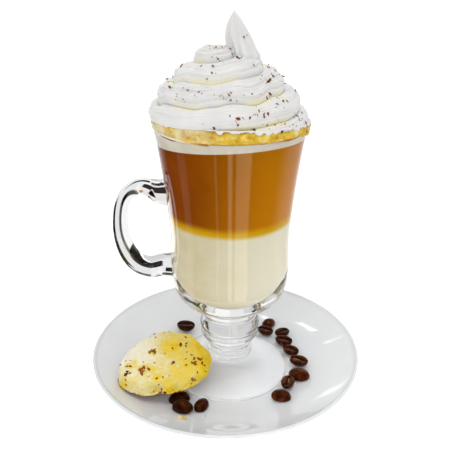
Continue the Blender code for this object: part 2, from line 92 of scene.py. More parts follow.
# In millimetres: the bowl's round inner bottom as (height, radius), its outer face with the ringed stem as
# (radius, height), then the foot over its underside and the rim from its outer edge in the same way
BOWL_BOTTOM = [
    (57.2, 0.0), (57.7, 8.0), (59.5, 14.0), (62.5, 18.7), (66.5, 22.7), (71.5, 26.0), (78.0, 28.4),
    (85.0, 29.4),
]
STEM = [
    (33.2, 90.0), (33.5, 80.0), (33.3, 71.5), (31.8, 64.5), (27.8, 58.6), (22.0, 55.4), (17.4, 52.0),
    (16.7, 48.4), (15.7, 46.2), (15.7, 44.9), (16.9, 43.0), (17.6, 40.6), (17.4, 38.7), (16.3, 37.4),
    (16.5, 36.0), (17.2, 34.4), (15.8, 31.2), (13.6, 29.4), (13.6, 27.8), (12.1, 25.6), (11.8, 23.9),
    (13.3, 22.3), (13.5, 20.4), (12.6, 18.8), (13.2, 17.0), (15.8, 15.3), (21.0, 13.2), (33.0, 9.8),
    (34.8, 8.6),
]
FOOT = [(34.9, 1.0), (34.4, 0.3), (33.4, 0.0), (24.0, 0.0), (18.0, 1.2), (0.0, 1.8)]
FOOT_SINK = 0.25 * MM
RIM_LINE = [(-2.85, -1.6), (-2.3, -0.4), (-1.5, 0.0), (-0.5, -0.4), (-0.1, -1.6)]

# Handle: how far out from the glass axis, how high and how thick, from the top joint to the lower one
HANDLE_ROUTE = [
    (33.6, 121.7, 15.0),
    (38.6, 121.9, 13.4),
    (43.5, 123.6, 10.4),
    (49.5, 124.4, 8.8),
    (55.8, 120.9, 8.0),
    (59.8, 114.0, 8.0),
    (61.4, 103.0, 8.5),
    (60.7, 93.0, 9.2),
    (57.6, 84.0, 10.2),
    (52.4, 78.0, 11.2),
    (45.5, 75.6, 12.0),
    (38.5, 77.0, 12.6),
    (31.4, 77.2, 14.0),
]
HANDLE_BREADTH = 1.18
HANDLE_SIDES = 40

# Drink
MILK_TOP = 108.5 * MM
COFFEE_TOP = 150.3 * MM
COFFEE_WALL_TOP = 146 * MM
FOAM_WALL_LOW = COFFEE_TOP + 4.5 * MM
FOAM_TOP = 158.9 * MM
FROTH_MIDDLE = 163.2 * MM
FROTH_SIDE_TILT = -1.2 / 41
FROTH_FRONT_TILT = 2.4 / 41
FROTH_RADIUS = 41.4 * MM
FROTH_SKIRT = GLASS_TOP - 0.2 * MM
FROTH_DEPTH = FROTH_MIDDLE - FROTH_SKIRT
FROTH_CLEAR = RIM_RADIUS + TOUCH
FROTH_BASE = GLASS_TOP + TOUCH
SPILL_DEPTH = 6.2 * MM
INSIDE_RIM = 38.0 * MM
DRAW_SHARE = 0.25
FROTH_STEPS = 720
FROTH_LUMPS = 8 * MM
FROTH_CELLS = 1.9 * MM
MELT_STEPS = 480
MELT_ROWS = 24
MELT_THICK = 0.55 * MM
MELT_SHOULDER = 2.2 * MM
MELT_SHORTEST = 1.2 * MM
BUBBLES = 420
# Bubbles in millimetres: the heights above the collar's lower edge that they lie between, and their radii
BUBBLE_HEIGHTS = (0.3, 5.2)
SMALL_BUBBLE = 0.28
LARGE_BUBBLE = 1.15
# The line between coffee and foam, in millimetres at the wall: how much higher it lies all round, to the
# right and in front, and a wave that goes round twice
WAVE_MIDDLE = 1.35
WAVE_RIGHT = 1.8
WAVE_FRONT = 2.2
WAVE_TWICE = -0.2

# Piped cream. The rope's radii and heights are in millimetres, and so are the stations of its tip, each as
# (middle, height, width, depth)
CREAM_SHIFT = -1.5 * MM
CREAM_DRIFT = -1.0 * MM
FIRST_TURN = -0.8
LAST_TURN = 4.0
TURN_STEPS = 170
ROPE_RADIUS = 38.8
ROPE_INWARD = 3.1
ROPE_CLOSING = 1.75
ROPE_NARROWEST = 0.6
ROPE_LOW = 160.8
ROPE_RISE = 11.6
ROPE_SETTLING = 0.7
ROPE_TOP = 196.0
ROPE_SWAY = 1.9
ROPE_QUIVER = 0.8
LOBE_ROWS = 52
LOBE_DEPTH = 3.7 * MM
CURL_TURN = 3.42
CURL_DEPTH = 6.0 * MM
SMOOTH_TURN = 0.72
FLUTES = 8
FLUTE_DEPTH = 0.34 * MM
FOLDS = 2.6
FOLD_DEPTH = 0.85 * MM
CREAM_LUMPS = 13 * MM
CREAM_DIMPLES = 5 * MM
CREAM_SUNK = 0.8 * MM
PEAK_SIDES = 96
PEAK_RIDGES = 9
PEAK_GROOVE = 0.20
PEAK_STATIONS = [
    (6.5, 188.0, 15.0, 13.0),
    (6.6, 194.0, 17.4, 15.0),
    (5.4, 198.5, 14.6, 12.6),
    (4.0, 202.6, 13.2, 9.8),
    (3.0, 206.0, 11.2, 7.8),
    (2.3, 209.0, 8.8, 5.8),
    (2.0, 212.0, 5.2, 3.8),
    (1.7, 214.6, 1.4, 1.2),
    (1.6, 215.4, 0.4, 0.4),
]

# Biscuit
COOKIE_PLACE = (-36.6 * MM, -18.1 * MM, 17.5 * MM)
COOKIE_LENGTH = 58 * MM
COOKIE_WIDTH = 46 * MM
COOKIE_RISE = 14.2 * MM
COOKIE_BASE = 4.5 * MM
COOKIE_TURN = math.radians(28.5)
COOKIE_LEAN = math.radians(4)
COOKIE_TIP = math.radians(1.4)
# How coarse the crust's fine grain, lumps and edge crumbs are, and how deep in millimetres
CRUST_GRAIN = (3.0 * MM, 0.30)
CRUST_LUMPS = (5.5 * MM, 0.55)
CRUST_CRUMBS = (1.5 * MM, 2.0)
# The biscuit turns golden towards the right, and a little towards its low edge, between these pixels
GOLD_ACROSS = (132, 192)
GOLD_DOWN = (360, 380)
# Golden patches and chips where they show in the photo, in pixels, each with its size in millimetres
GOLDEN_PATCHES = [
    (168, 347, 5.0), (207, 357, 5.5), (203, 368, 4.0), (198, 345, 3.4), (170, 391, 3.6), (147, 368, 2.6),
    (129, 366, 2.4), (122, 386, 3.0), (158, 378, 2.0), (186, 366, 1.8), (153, 352, 1.8), (135, 362, 1.8),
    (140, 369, 2.0), (154, 369, 1.8), (176, 346, 2.6),
]
CHIPS_SEEN = [
    (155.7, 337.4, 0.9), (147.1, 337.4, 0.6), (164.3, 332.9, 0.6), (186, 337.7, 1.5), (180.9, 344.3, 1.8),
    (186.4, 343.6, 1.1), (186, 346.3, 0.9), (172.6, 348.4, 1.0), (153.3, 351.9, 2.4), (149.5, 352.5, 1.2),
    (154.2, 349.8, 1.4), (151.4, 350.1, 0.8), (186.7, 352.2, 0.8), (165, 353.6, 0.6), (191.5, 355, 0.9),
    (185.7, 359.1, 0.9), (194, 358.7, 1.3), (198.8, 359.1, 1.8), (201.5, 359.1, 0.9), (194, 363.2, 2.3),
    (191.9, 362.5, 1.2), (186, 365, 1.0), (173, 362.2, 1.8), (202.2, 363.2, 1.7), (204.3, 365.6, 1.0),
    (197.4, 372.5, 0.9), (192.9, 380.4, 2.0), (191.2, 383.5, 1.0), (205.7, 371.5, 0.7), (120.6, 364.9, 0.9),
    (125.8, 360.8, 0.6), (130.6, 360.5, 0.6), (126.8, 366.3, 1.2), (130.3, 366.3, 1.1), (142.3, 368.7, 2.4),
    (144.2, 367.4, 1.3), (149.2, 369.1, 1.7), (141.6, 372.9, 2.3), (143.5, 371.2, 1.2), (126.8, 373.6, 2.3),
    (129.9, 373.2, 1.2), (124.9, 374.8, 1.0), (125.8, 380.1, 1.0), (126.1, 384.9, 0.9), (143.3, 362.2, 0.6),
    (154.4, 362.9, 0.6), (148.8, 376.3, 0.6), (156.8, 378.4, 1.1), (163, 377.3, 0.9), (169.2, 376, 0.6),
    (158.8, 384.6, 0.6), (161.6, 389, 1.1), (154, 391.5, 1.3), (160.6, 392.1, 1.2), (165, 392.5, 1.2),
]
CHIPS_BEHIND = 45
# The small bite at the front edge: its place and reach in pixels of the photo, and its depth
BITE_PLACE = (158.5, 392.0)
BITE_REACH = 7.0
BITE_DEPTH = 2.4 * MM

# Coffee beans: place on the saucer, turn, size, and how golden its crease is, or 0 where the back is up
BEAN_LENGTH = 11.4 * MM
BEAN_WIDTH = 8.2 * MM
BEAN_BACK = 4.1 * MM
BEAN_FACE = 1.5 * MM
CREASE_DEPTH = 1.1 * MM
CREASE_BREADTH = 0.21
BEAN_BUMPS = 2.6 * MM
BEANS = [
    (29.2, 39.8, 40, 0.90, 0),
    (26.6, 30.4, 150, 0.95, 0.76),
    (37.6, 27.4, 25, 0.90, 0.70),
    (38.0, 18.2, -25, 1.00, 0.79),
    (41.6, 7.8, -30, 0.94, 0.74),
    (45.4, -4.2, -20, 1.00, 1.0),
    (44.4, -16.4, -12, 1.12, 0),
    (36.8, -24.8, 70, 0.95, 0.90),
    (32.2, -35.8, -12, 1.00, 0),
    (-27.1, 34.6, -10, 1.08, 0.97),
    (-26.0, -38.0, 15, 1.08, 0),
    (-23.4, -47.4, -14, 1.06, 0),
    (-13.2, -43.6, 60, 0.92, 0),
]

# Camera, at the photo's place
CAMERA_PLACE = Vector((0.002525, -0.315135, 0.236216))
CAMERA_AIM = Vector((-0.008273, 0.917979, -0.396542))
LENS = 48.37
SENSOR = 36.0
FRAME_SIDE = 450
NEAREST_SEEN = 10 * MM
CAMERA_TURN = CAMERA_AIM.to_track_quat("-Z", "Y")
PIXEL_REACH = LENS / SENSOR * FRAME_SIDE

# Cards round the glass: from and to in degrees from the camera's side, positive away from the handle, and
# how bright
SURROUND_STEPS = 180
SURROUND_RADIUS = 112 * MM
SURROUND_HEIGHT = 150 * MM
SURROUND_GLOW = 4.0
SOFT_GLOW = 2.0
TOP_GLOW = 0.8
OPEN_GLOW = 0.85
WARM_CARD = (1.0, 0.88, 0.62)
PLAIN_CARD = (1.0, 1.0, 1.0)
WARM_WITHIN = 60
# Window panes on the mirrored ring, which show as strips on the saucer: angle and height of the middle,
# half the breadth in degrees, half the height in millimetres, lean in degrees a millimetre, and how bright
PANE_BLUR = 0.3
PANES = [
    (176.3, 113.6, 0.42, 6.8, 0.19, 10.0),
    (171.4, 91.2, 0.35, 0.6, 0.0, 9.0),
    (162.3, 36.5, 1.9, 4.5, -0.15, 2.6),
    (-125.0, 42.0, 11.0, 42.0, 0.0, 2.2),
]
MIRRORED_CARDS = [
    (-180, -176, 0.8),
    (-168, -140, 1.0),
    (-104, -80, 0.03),
    (-76, -66, 0.4),
    (-62, -22, 0.02),
    (-20, -19, 1.2),
    (-17, -4, 0.02),
    (-2, 2, 2.6),
    (4, 7, 0.02),
    (9, 27, 2.2),
    (30, 70, 0.03),
    (90, 118, 0.6),
    (135, 165, 1.0),
    (176, 180, 0.8),
]
SEEN_CARDS = [
    (-180, -145, 0.85),
    (-142, -135, 0.08),
    (-132, -103, 1.0),
    (-97, 90, 0.03),
    (100, 150, 0.02),
    (160, 180, 1.0),
]
# Cards behind the handle: left, right, low and top in millimetres
HANDLE_CARDS = [(-20, 36, 50, 125), (-34, -20, 60, 78), (-47, -22, 85, 106), (-74, -62, 88, 100)]
WARM_HANDLE_CARDS = [(-54, -38, 122, 140)]
WARM_HANDLE_GLOW = (0.55, 0.24, 0.03)
HANDLE_CARDS_BACK = 62 * MM
FLOOR_CARD_HEIGHT = 40 * MM
FLOOR_CARD_EDGE = -40 * MM
# Where light that goes straight through the glass finds an even pale front: how far forward, how far aside
OPEN_FORWARD = (-22 * MM, -30 * MM)
OPEN_ASIDE = (18 * MM, 24 * MM)

# Floor and room
FLOOR_HALF = 4.0
FLOOR_GLOW = 0.40
ROOM_FRONT = 0.68
ROOM_BEHIND = 0.95
ROOM_ABOVE = 0.58
BOUNCES = 16

# Lamps: name, place, width, height, power, and whether it shows mirrored
LAMP_AIM = 100 * MM
LAMPS = [
    ("front_fill", (-0.25, -0.9, 0.75), 0.8, 0.6, 2.9, False),
    ("window", (0.08, -0.05, 0.95), 0.5, 0.5, 2.6, True),
]


def smooth_line(points, cuts):
    """A smooth line through the points, with this many steps between each pair."""
    ends = [points[0], *points, points[-1]]
    line = []
    for before, start, end, after in zip(ends, ends[1:], ends[2:], ends[3:]):
        for step in range(cuts):
            t = step / cuts
            place = []
            for a, b, c, d in zip(before, start, end, after):
                curve = (2 * a - 5 * b + 4 * c - d) * t**2
                place.append(0.5 * (2 * b + (c - a) * t + curve + (3 * b - a - 3 * c + d) * t**3))
            line.append(tuple(place))
    line.append(tuple(points[-1]))
    return line


def in_millimetres(places):
    return [tuple(part * MM for part in place) for place in places]


def from_edge(radius, height, places):
    """(radius, height) of places that are given in millimetres from an edge."""
    return [(radius + r, height + z) for r, z in in_millimetres(places)]


def polar(angle, radius=1.0, height=0.0):
    """The place at this angle about the Z axis."""
    return Vector((radius * math.cos(angle), radius * math.sin(angle), height))


def hump(off, reach):
    """1 in the middle, and less the further off it is, down to hardly anything at twice the reach."""
    return math.exp(-((off / reach) ** 2))


def mesh_from(bm, name):
    mesh = bpy.data.meshes.new(name)
    bm.to_mesh(mesh)
    bm.free()
    return mesh


def new_object(name, data):
    made = bpy.data.objects.new(name, data)
    bpy.context.scene.collection.objects.link(made)
    return made


def turned(profile, steps):
    """A solid of revolution about the Z axis, from a profile that starts and ends on it."""
    bm = bmesh.new()
    line = [bm.verts.new((r, 0.0, z)) for r, z in profile]
    edges = [bm.edges.new(pair) for pair in zip(line, line[1:])]
    bmesh.ops.spin(
        bm, geom=line + edges, cent=(0, 0, 0), axis=(0, 0, 1), angle=math.tau, steps=steps, use_merge=True
    )
    bmesh.ops.remove_doubles(bm, verts=bm.verts, dist=MERGE)
    bmesh.ops.recalc_face_normals(bm, faces=bm.faces)
    return bm


def make_piece(name, mesh, surface, nodes=(), sharp=40):
    """A finished piece, smooth but for its sharp edges, that rides on the part and stands for these nodes."""
    piece = new_object(name, mesh)
    kinds = [face.material_index for face in mesh.polygons]
    mesh.materials.clear()
    mesh.materials.append(surface)
    mesh.polygons.foreach_set("material_index", kinds)
    mesh.shade_smooth()
    mesh.set_sharp_from_angle(angle=math.radians(sharp))
    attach(piece, "root")
    if nodes:
        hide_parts(*nodes)
    return piece


def joined(mesh, other, solver):
    """The union of two closed meshes."""
    base = new_object("base", mesh)
    tool = new_object("tool", other)
    union = base.modifiers.new("Join", "BOOLEAN")
    union.operation = "UNION"
    union.solver = solver
    union.object = tool
    graph = bpy.context.evaluated_depsgraph_get()
    made = bpy.data.meshes.new_from_object(base.evaluated_get(graph), depsgraph=graph)
    for obj in (base, tool):
        bpy.data.objects.remove(obj, do_unlink=True)
    return made


# Materials


def new_material(name):
    made = bpy.data.materials.new(name)
    made.use_nodes = True
    return made, made.node_tree, made.node_tree.nodes["Principled BSDF"]


def add_node(tree, kind, inputs=None, **settings):
    """A node with its settings, and its inputs given as values or as sockets to link."""
    made = tree.nodes.new(kind)
    for key, value in settings.items():
        setattr(made, key, value)
    for key, value in (inputs or {}).items():
        if isinstance(value, bpy.types.NodeSocket):
            tree.links.new(value, made.inputs[key])
        else:
            made.inputs[key].default_value = value
    return made


def object_place(tree):
    return add_node(tree, "ShaderNodeTexCoord").outputs["Object"]


def add_noise(tree, place, scale, detail=4.0, roughness=0.55):
    values = {"Vector": place, "Scale": scale, "Detail": detail, "Roughness": roughness}
    return add_node(tree, "ShaderNodeTexNoise", values).outputs["Fac"]


def add_cells(tree, place, scale):
    return add_node(tree, "ShaderNodeTexVoronoi", {"Vector": place, "Scale": scale}).outputs["Distance"]


def add_ramp(tree, factor, stops):
    """A colour ramp with (place, colour) stops."""
    ramp = add_node(tree, "ShaderNodeValToRGB", {"Fac": factor})
    elements = ramp.color_ramp.elements
    while len(elements) < len(stops):
        elements.new(1.0)
    for element, (where, colour) in zip(elements, stops):
        element.position = where
        element.color = (*colour, 1.0)
    return ramp.outputs["Color"]


def add_mix(tree, factor, first, second, blend="MIX"):
    mix = add_node(tree, "ShaderNodeMix", data_type="RGBA", blend_type=blend)
    for socket, value in zip((mix.inputs[0], mix.inputs[6], mix.inputs[7]), (factor, first, second)):
        if isinstance(value, bpy.types.NodeSocket):
            tree.links.new(value, socket)
        elif isinstance(value, (int, float)):
            socket.default_value = value
        else:
            socket.default_value = (*value, 1.0)
    return mix.outputs[2]


def add_bump(tree, shader, height, strength, distance):
    values = {"Height": height, "Strength": strength, "Distance": distance}
    bump = add_node(tree, "ShaderNodeBump", values)
    tree.links.new(bump.outputs["Normal"], shader.inputs["Normal"])


def add_range(tree, value, low, high, to_low=0.0, to_high=1.0):
    values = {"Value": value, "From Min": low, "From Max": high, "To Min": to_low, "To Max": to_high}
    return add_node(tree, "ShaderNodeMapRange", values, interpolation_type="SMOOTHSTEP").outputs["Result"]


def add_math(tree, operation, *values):
    """Arithmetic on one to three values or sockets."""
    return add_node(tree, "ShaderNodeMath", dict(enumerate(values)), operation=operation).outputs["Value"]


def axis_of(tree, place, axis):
    return add_node(tree, "ShaderNodeSeparateXYZ", {"Vector": place}).outputs[axis]


def attribute_of(tree, name):
    return add_node(tree, "ShaderNodeAttribute", attribute_name=name).outputs["Fac"]


def paint(tree, shader, colour):
    tree.links.new(colour, shader.inputs["Base Color"])


def set_plain(shader, **values):
    """Sets sockets of the shader to plain values, by their names with underscores for spaces."""
    for key, value in values.items():
        shader.inputs[key.replace("_", " ")].default_value = value


def porcelain_material():
    made, tree, shader = new_material("glazed porcelain")
    place = object_place(tree)
    cloud = add_noise(tree, place, 18.0, 2.0)
    tint = add_ramp(tree, cloud, [(0.35, (0.745, 0.765, 0.79)), (0.65, (0.785, 0.80, 0.82))])
    paint(tree, shader, tint)
    add_bump(tree, shader, add_noise(tree, place, 55.0, 1.0), 0.12, 0.4 * MM)
    set_plain(shader, Roughness=0.035, IOR=1.5)
    return made


def glass_material(name, bend, gloss, clear=0.99):
    """Clear glass that bends light this much, with an even gloss on top of its own."""
    made, tree, shader = new_material(name)
    place = object_place(tree)
    add_bump(tree, shader, add_noise(tree, place, 60.0, 1.0), 0.10, 0.4 * MM)
    smear = add_noise(tree, place, 90.0, 3.0)
    tree.links.new(add_range(tree, smear, 0.45, 0.75, 0.0, 0.03), shader.inputs["Roughness"])
    set_plain(shader, Base_Color=(clear, clear, clear, 1.0), Transmission_Weight=1.0)
    set_plain(shader, IOR=bend, Coat_Weight=gloss)
    return made


def milk_material():
    made, tree, shader = new_material("warm milk")
    place = object_place(tree)
    drift = add_noise(tree, place, 45.0, 3.0)
    sway = add_math(tree, "MULTIPLY_ADD", drift, 2.4 * MM, -1.2 * MM)
    level = add_math(tree, "ADD", axis_of(tree, place, "Z"), sway)
    body = add_ramp(tree, drift, [(0.35, (0.45, 0.395, 0.245)), (0.65, (0.51, 0.465, 0.345))])
    across = axis_of(tree, place, "X")
    # painted light: the milk turns lighter towards the right, the side the light comes from
    pale = add_mix(tree, add_range(tree, across, -18 * MM, 26 * MM), body, (0.56, 0.535, 0.415))
    gold = add_range(tree, level, MILK_TOP - 3.0 * MM, MILK_TOP + 0.4 * MM)
    paint(tree, shader, add_mix(tree, gold, pale, (0.47, 0.29, 0.006)))
    set_plain(shader, Roughness=0.6, Specular_IOR_Level=0.0, Subsurface_Weight=0.35, Subsurface_Scale=4 * MM)
    return made


def coffee_material():
    made, tree, shader = new_material("milky coffee")
    place = object_place(tree)
    drift = add_noise(tree, place, 38.0, 3.0)
    across = axis_of(tree, place, "X")
    # painted light: the coffee turns paler amber towards the right, the side the light passes through
    pale = add_range(tree, across, -26 * MM, 34 * MM)
    strong = add_ramp(tree, drift, [(0.3, (0.140, 0.029, 0.001)), (0.7, (0.205, 0.045, 0.001))])
    body = add_mix(tree, pale, strong, (0.39, 0.145, 0.002))
    sway = add_math(tree, "MULTIPLY_ADD", drift, 3 * MM, -1.5 * MM)
    level = add_math(tree, "ADD", axis_of(tree, place, "Z"), sway)
    gold = add_range(tree, level, MILK_TOP + 5.5 * MM, MILK_TOP)
    paint(tree, shader, add_mix(tree, gold, body, (0.47, 0.27, 0.005)))
    set_plain(shader, Roughness=0.6, Specular_IOR_Level=0.0, Subsurface_Weight=0.25, Subsurface_Scale=6 * MM)
    set_plain(shader, Subsurface_Radius=(1.0, 0.45, 0.1))
    return made


def foam_material():
    made, tree, shader = new_material("fine milk foam")
    place = object_place(tree)
    cloud = add_noise(tree, place, 60.0, 4.0)
    tint = add_ramp(tree, cloud, [(0.3, (0.52, 0.485, 0.40)), (0.7, (0.60, 0.57, 0.49))])
    paint(tree, shader, tint)
    add_bump(tree, shader, add_cells(tree, place, 900.0), 0.3, 0.2 * MM)
    set_plain(shader, Roughness=0.7, Specular_IOR_Level=0.0)
    return made


def froth_material():
    made, tree, shader = new_material("golden froth")
    place = object_place(tree)
    patch = add_noise(tree, place, 170.0, 3.0, 0.6)
    tint = add_ramp(tree, patch, [
        (0.34, (0.80, 0.66, 0.26)),
        (0.47, (0.68, 0.47, 0.04)),
        (0.58, (0.58, 0.34, 0.01)),
        (0.70, (0.32, 0.13, 0.002)),
    ])
    low = add_range(tree, axis_of(tree, place, "Z"), FROTH_SKIRT + 1.1 * MM, FROTH_SKIRT + 0.2 * MM)
    across = axis_of(tree, place, "X")
    # painted shade: a dark amber line along the collar's lower edge where it sits on the rim, kept off the
    # left and the far right
    low_left = add_math(tree, "MULTIPLY", low, add_range(tree, across, 38 * MM, 28 * MM))
    foot = add_math(tree, "MULTIPLY", low_left, add_range(tree, across, -20 * MM, -8 * MM))
    milky = add_range(tree, add_noise(tree, place, 120.0, 3.0, 0.6), 0.36, 0.60, 0.15, 1.0)
    left = add_range(tree, across, 2 * MM, -22 * MM, 0.0, 0.7)
    creamy = add_mix(tree, add_math(tree, "MULTIPLY", milky, left), tint, (0.73, 0.66, 0.47))
    # painted highlight: a near-white band low on the collar's left, where the rim's lit edge shows
    rim = add_math(tree, "MULTIPLY", low, add_range(tree, across, -16 * MM, -26 * MM))
    rim_highlight = add_mix(tree, rim, creamy, (0.86, 0.85, 0.80))
    paint(tree, shader, add_mix(tree, foot, rim_highlight, (0.36, 0.16, 0.004)))
    add_bump(tree, shader, add_cells(tree, place, 620.0), 0.6, 0.4 * MM)
    set_plain(shader, Roughness=0.35, IOR=1.33, Subsurface_Weight=0.3, Subsurface_Scale=2 * MM)
    return made


def cream_material():
    made, tree, shader = new_material("whipped cream")
    place = object_place(tree)
    hollow = attribute_of(tree, "hollow")
    # a yellow tint in the hollows between the rope's turns
    patch = add_range(tree, add_noise(tree, place, 42.0, 2.0), 0.48, 0.62)
    hollow_tint = add_math(tree, "MULTIPLY", hollow, patch)
    cloud = add_noise(tree, place, 70.0, 3.0)
    white = add_ramp(tree, cloud, [(0.35, (0.655, 0.65, 0.64)), (0.65, (0.71, 0.705, 0.695))])
    # painted shade: the cream turns greyer towards the peak's tip
    tip = add_range(tree, axis_of(tree, place, "Z"), 194 * MM, 206 * MM)
    shaded = add_mix(tree, tip, white, (0.66, 0.655, 0.64))
    paint(tree, shader, add_mix(tree, hollow_tint, shaded, (0.79, 0.75, 0.54)))
    add_bump(tree, shader, add_noise(tree, place, 900.0, 3.0), 0.15, 0.2 * MM)
    set_plain(shader, Roughness=0.42, IOR=1.36, Subsurface_Weight=0.15, Subsurface_Scale=1 * MM)
    return made


def chocolate_material(name, dark, light):
    made, tree, shader = new_material(name)
    place = object_place(tree)
    grain = add_noise(tree, place, 320.0, 2.0)
    paint(tree, shader, add_ramp(tree, grain, [(0.35, dark), (0.65, light)]))
    add_bump(tree, shader, add_noise(tree, place, 1500.0, 2.0), 0.3, 0.2 * MM)
    set_plain(shader, Roughness=0.5, Specular_IOR_Level=0.12)
    return made


def crust_material():
    made, tree, shader = new_material("baked crust")
    place = object_place(tree)
    bake = attribute_of(tree, "bake")
    under = attribute_of(tree, "under")
    cloud = add_math(tree, "MULTIPLY_ADD", add_noise(tree, place, 260.0, 5.0, 0.75), 1.1, -0.55)
    dough = add_ramp(tree, add_math(tree, "ADD", bake, cloud), [
        (0.10, (0.90, 0.84, 0.64)),
        (0.48, (0.82, 0.66, 0.17)),
        (0.75, (0.90, 0.64, 0.025)),
        (1.0, (0.82, 0.46, 0.01)),
    ])
    grain = add_noise(tree, place, 700.0, 3.0)
    grit = add_ramp(tree, grain, [(0.36, (0.86, 0.72, 0.50)), (0.48, (1.0, 1.0, 1.0))])
    speckled = add_mix(tree, 0.35, dough, grit, "MULTIPLY")
    paint(tree, shader, add_mix(tree, under, speckled, (0.40, 0.17, 0.04)))
    add_bump(tree, shader, add_noise(tree, place, 900.0, 5.0), 0.35, 0.4 * MM)
    set_plain(shader, Roughness=0.8, Specular_IOR_Level=0.2)
    return made


def bean_material():
    made, tree, shader = new_material("dark roast")
    place = object_place(tree)
    crease = attribute_of(tree, "crease")
    skin = add_ramp(tree, add_noise(tree, place, 380.0, 4.0), [
        (0.38, (0.008, 0.002, 0.001)),
        (0.56, (0.060, 0.010, 0.002)),
        (0.72, (0.200, 0.050, 0.010)),
    ])
    across = axis_of(tree, place, "X")
    darker = add_mix(tree, add_range(tree, across, -8 * MM, -14 * MM, 0.0, 0.55), skin, (0.010, 0.003, 0.001))
    # painted shade: the crease's flanks are darkened; its golden middle is the silverskin's own colour
    edge = add_range(tree, crease, 0.10, 0.35)
    middle = add_range(tree, crease, 0.70, 0.92)
    crease_shaded = add_mix(tree, edge, darker, (0.012, 0.004, 0.001))
    paint(tree, shader, add_mix(tree, middle, crease_shaded, (0.72, 0.36, 0.09)))
    add_bump(tree, shader, add_noise(tree, place, 520.0, 5.0, 0.65), 0.55, 0.6 * MM)
    set_plain(shader, Roughness=0.28, Specular_IOR_Level=0.16, Specular_Tint=(1.0, 0.45, 0.20, 1.0))
    return made


def crumb_material():
    made, tree, shader = new_material("biscuit crumb")
    grain = add_noise(tree, object_place(tree), 500.0, 3.0)
    tint = add_ramp(tree, grain, [(0.35, (0.60, 0.40, 0.12)), (0.65, (0.80, 0.66, 0.36))])
    paint(tree, shader, tint)
    set_plain(shader, Roughness=0.8)
    return made


# Saucer


def saucer_top(radius):
    """Height of the saucer's upper face: a flat well, then a slope that steepens to the rim."""
    if radius <= WELL_RADIUS:
        return WELL_TOP
    share = (radius - WELL_RADIUS) / (SAUCER_RADIUS - WELL_RADIUS)
    return WELL_TOP + (SAUCER_HEIGHT - WELL_TOP) * share**SAUCER_CURVE


def make_saucer(surface):
    lip_start = SAUCER_RADIUS - LIP_BREADTH
    slope = [WELL_RADIUS + (lip_start - WELL_RADIUS) * i / SLOPE_STEPS for i in range(SLOPE_STEPS + 1)]
    upper = [(0.0, WELL_TOP), (WELL_RADIUS / 2, WELL_TOP)] + [(r, saucer_top(r)) for r in slope]
    lip = smooth_line(upper[-1:] + from_edge(SAUCER_RADIUS, SAUCER_HEIGHT, LIP_LINE), 4)
    below = []
    for r in slope[SLOPE_STEPS - 2:2:-1]:
        share = (r - WELL_RADIUS) / (SAUCER_RADIUS - WELL_RADIUS)
        below.append((r + 0.6 * MM, saucer_top(r) - SAUCER_WALL - (SAUCER_LIP - SAUCER_WALL) * share))
    bm = turned(upper[:-1] + lip + below + in_millimetres(FOOT_RING), SAUCER_STEPS)
    make_piece("porcelain_saucer", mesh_from(bm, "saucer"), surface, ["saucer"])


# Glass


def bowl_radius(height):
    """Outer radius of the glass above its waist, flaring to the rim."""
    share = max(0.0, (height - FLARE_START) / (GLASS_TOP - FLARE_START))
    return WAIST_RADIUS + (RIM_RADIUS - WAIST_RADIUS) * share**FLARE_CURVE


def bowl_wall(height):
    share = (height - FLARE_START) / (GLASS_TOP - FLARE_START)
    return BOWL_WALL + (RIM_WALL - BOWL_WALL) * share


def make_inner_line():
    """The inner face of the bowl as (height, radius), from its round bottom to just under the rim."""
    upper = [FLARE_START + (INNER_TOP - FLARE_START) * i / 6 for i in range(7)]
    flare = [(h, bowl_radius(h) - bowl_wall(h)) for h in upper]
    return smooth_line(in_millimetres(BOWL_BOTTOM) + flare, 5)


INNER_LINE = make_inner_line()


def inner_radius(height):
    for (low, near), (high, far) in zip(INNER_LINE, INNER_LINE[1:]):
        if height <= high:
            return near + (far - near) * max(0.0, height - low) / (high - low)
    return bowl_radius(height) - bowl_wall(height)


def glass_profile():
    inner = [(r, h) for h, r in INNER_LINE]
    inner[0] = (0.0, BOWL_FLOOR)
    rim = smooth_line(from_edge(RIM_RADIUS, GLASS_TOP, RIM_LINE), 4)
    flare = [(bowl_radius(h * MM), h * MM) for h in FLARE_HEIGHTS]
    stem = smooth_line(flare + in_millimetres(STEM), 5)
    return inner + rim + stem + from_edge(0.0, GLASS_BASE - FOOT_SINK, FOOT)


def handle_mesh():
    """The handle as a tube of changing thickness, a little broader than it is thick."""
    bm = bmesh.new()
    route = smooth_line(HANDLE_ROUTE, 6)
    rings = []
    for number, (out, height, thick) in enumerate(route):
        before = route[max(0, number - 1)]
        after = route[min(len(route) - 1, number + 1)]
        along = Vector((before[0] - after[0], 0.0, after[1] - before[1])).normalized()
        side = Vector((0.0, 1.0, 0.0))
        across = side.cross(along)
        half = thick * MM / 2
        turn = Matrix((across * half, side * half * HANDLE_BREADTH, along)).transposed().to_4x4()
        place = Matrix.Translation((-out * MM, 0.0, height * MM)) @ turn
        ring = bmesh.ops.create_circle(bm, segments=HANDLE_SIDES, radius=1.0, matrix=place)["verts"]
        rings.append(list({edge for vert in ring for edge in vert.link_edges}))
    for low, high in zip(rings, rings[1:]):
        bmesh.ops.bridge_loops(bm, edges=low + high)
    bmesh.ops.holes_fill(bm, edges=[edge for edge in bm.edges if edge.is_boundary], sides=0)
    bmesh.ops.recalc_face_normals(bm, faces=bm.faces)
    return mesh_from(bm, "handle")


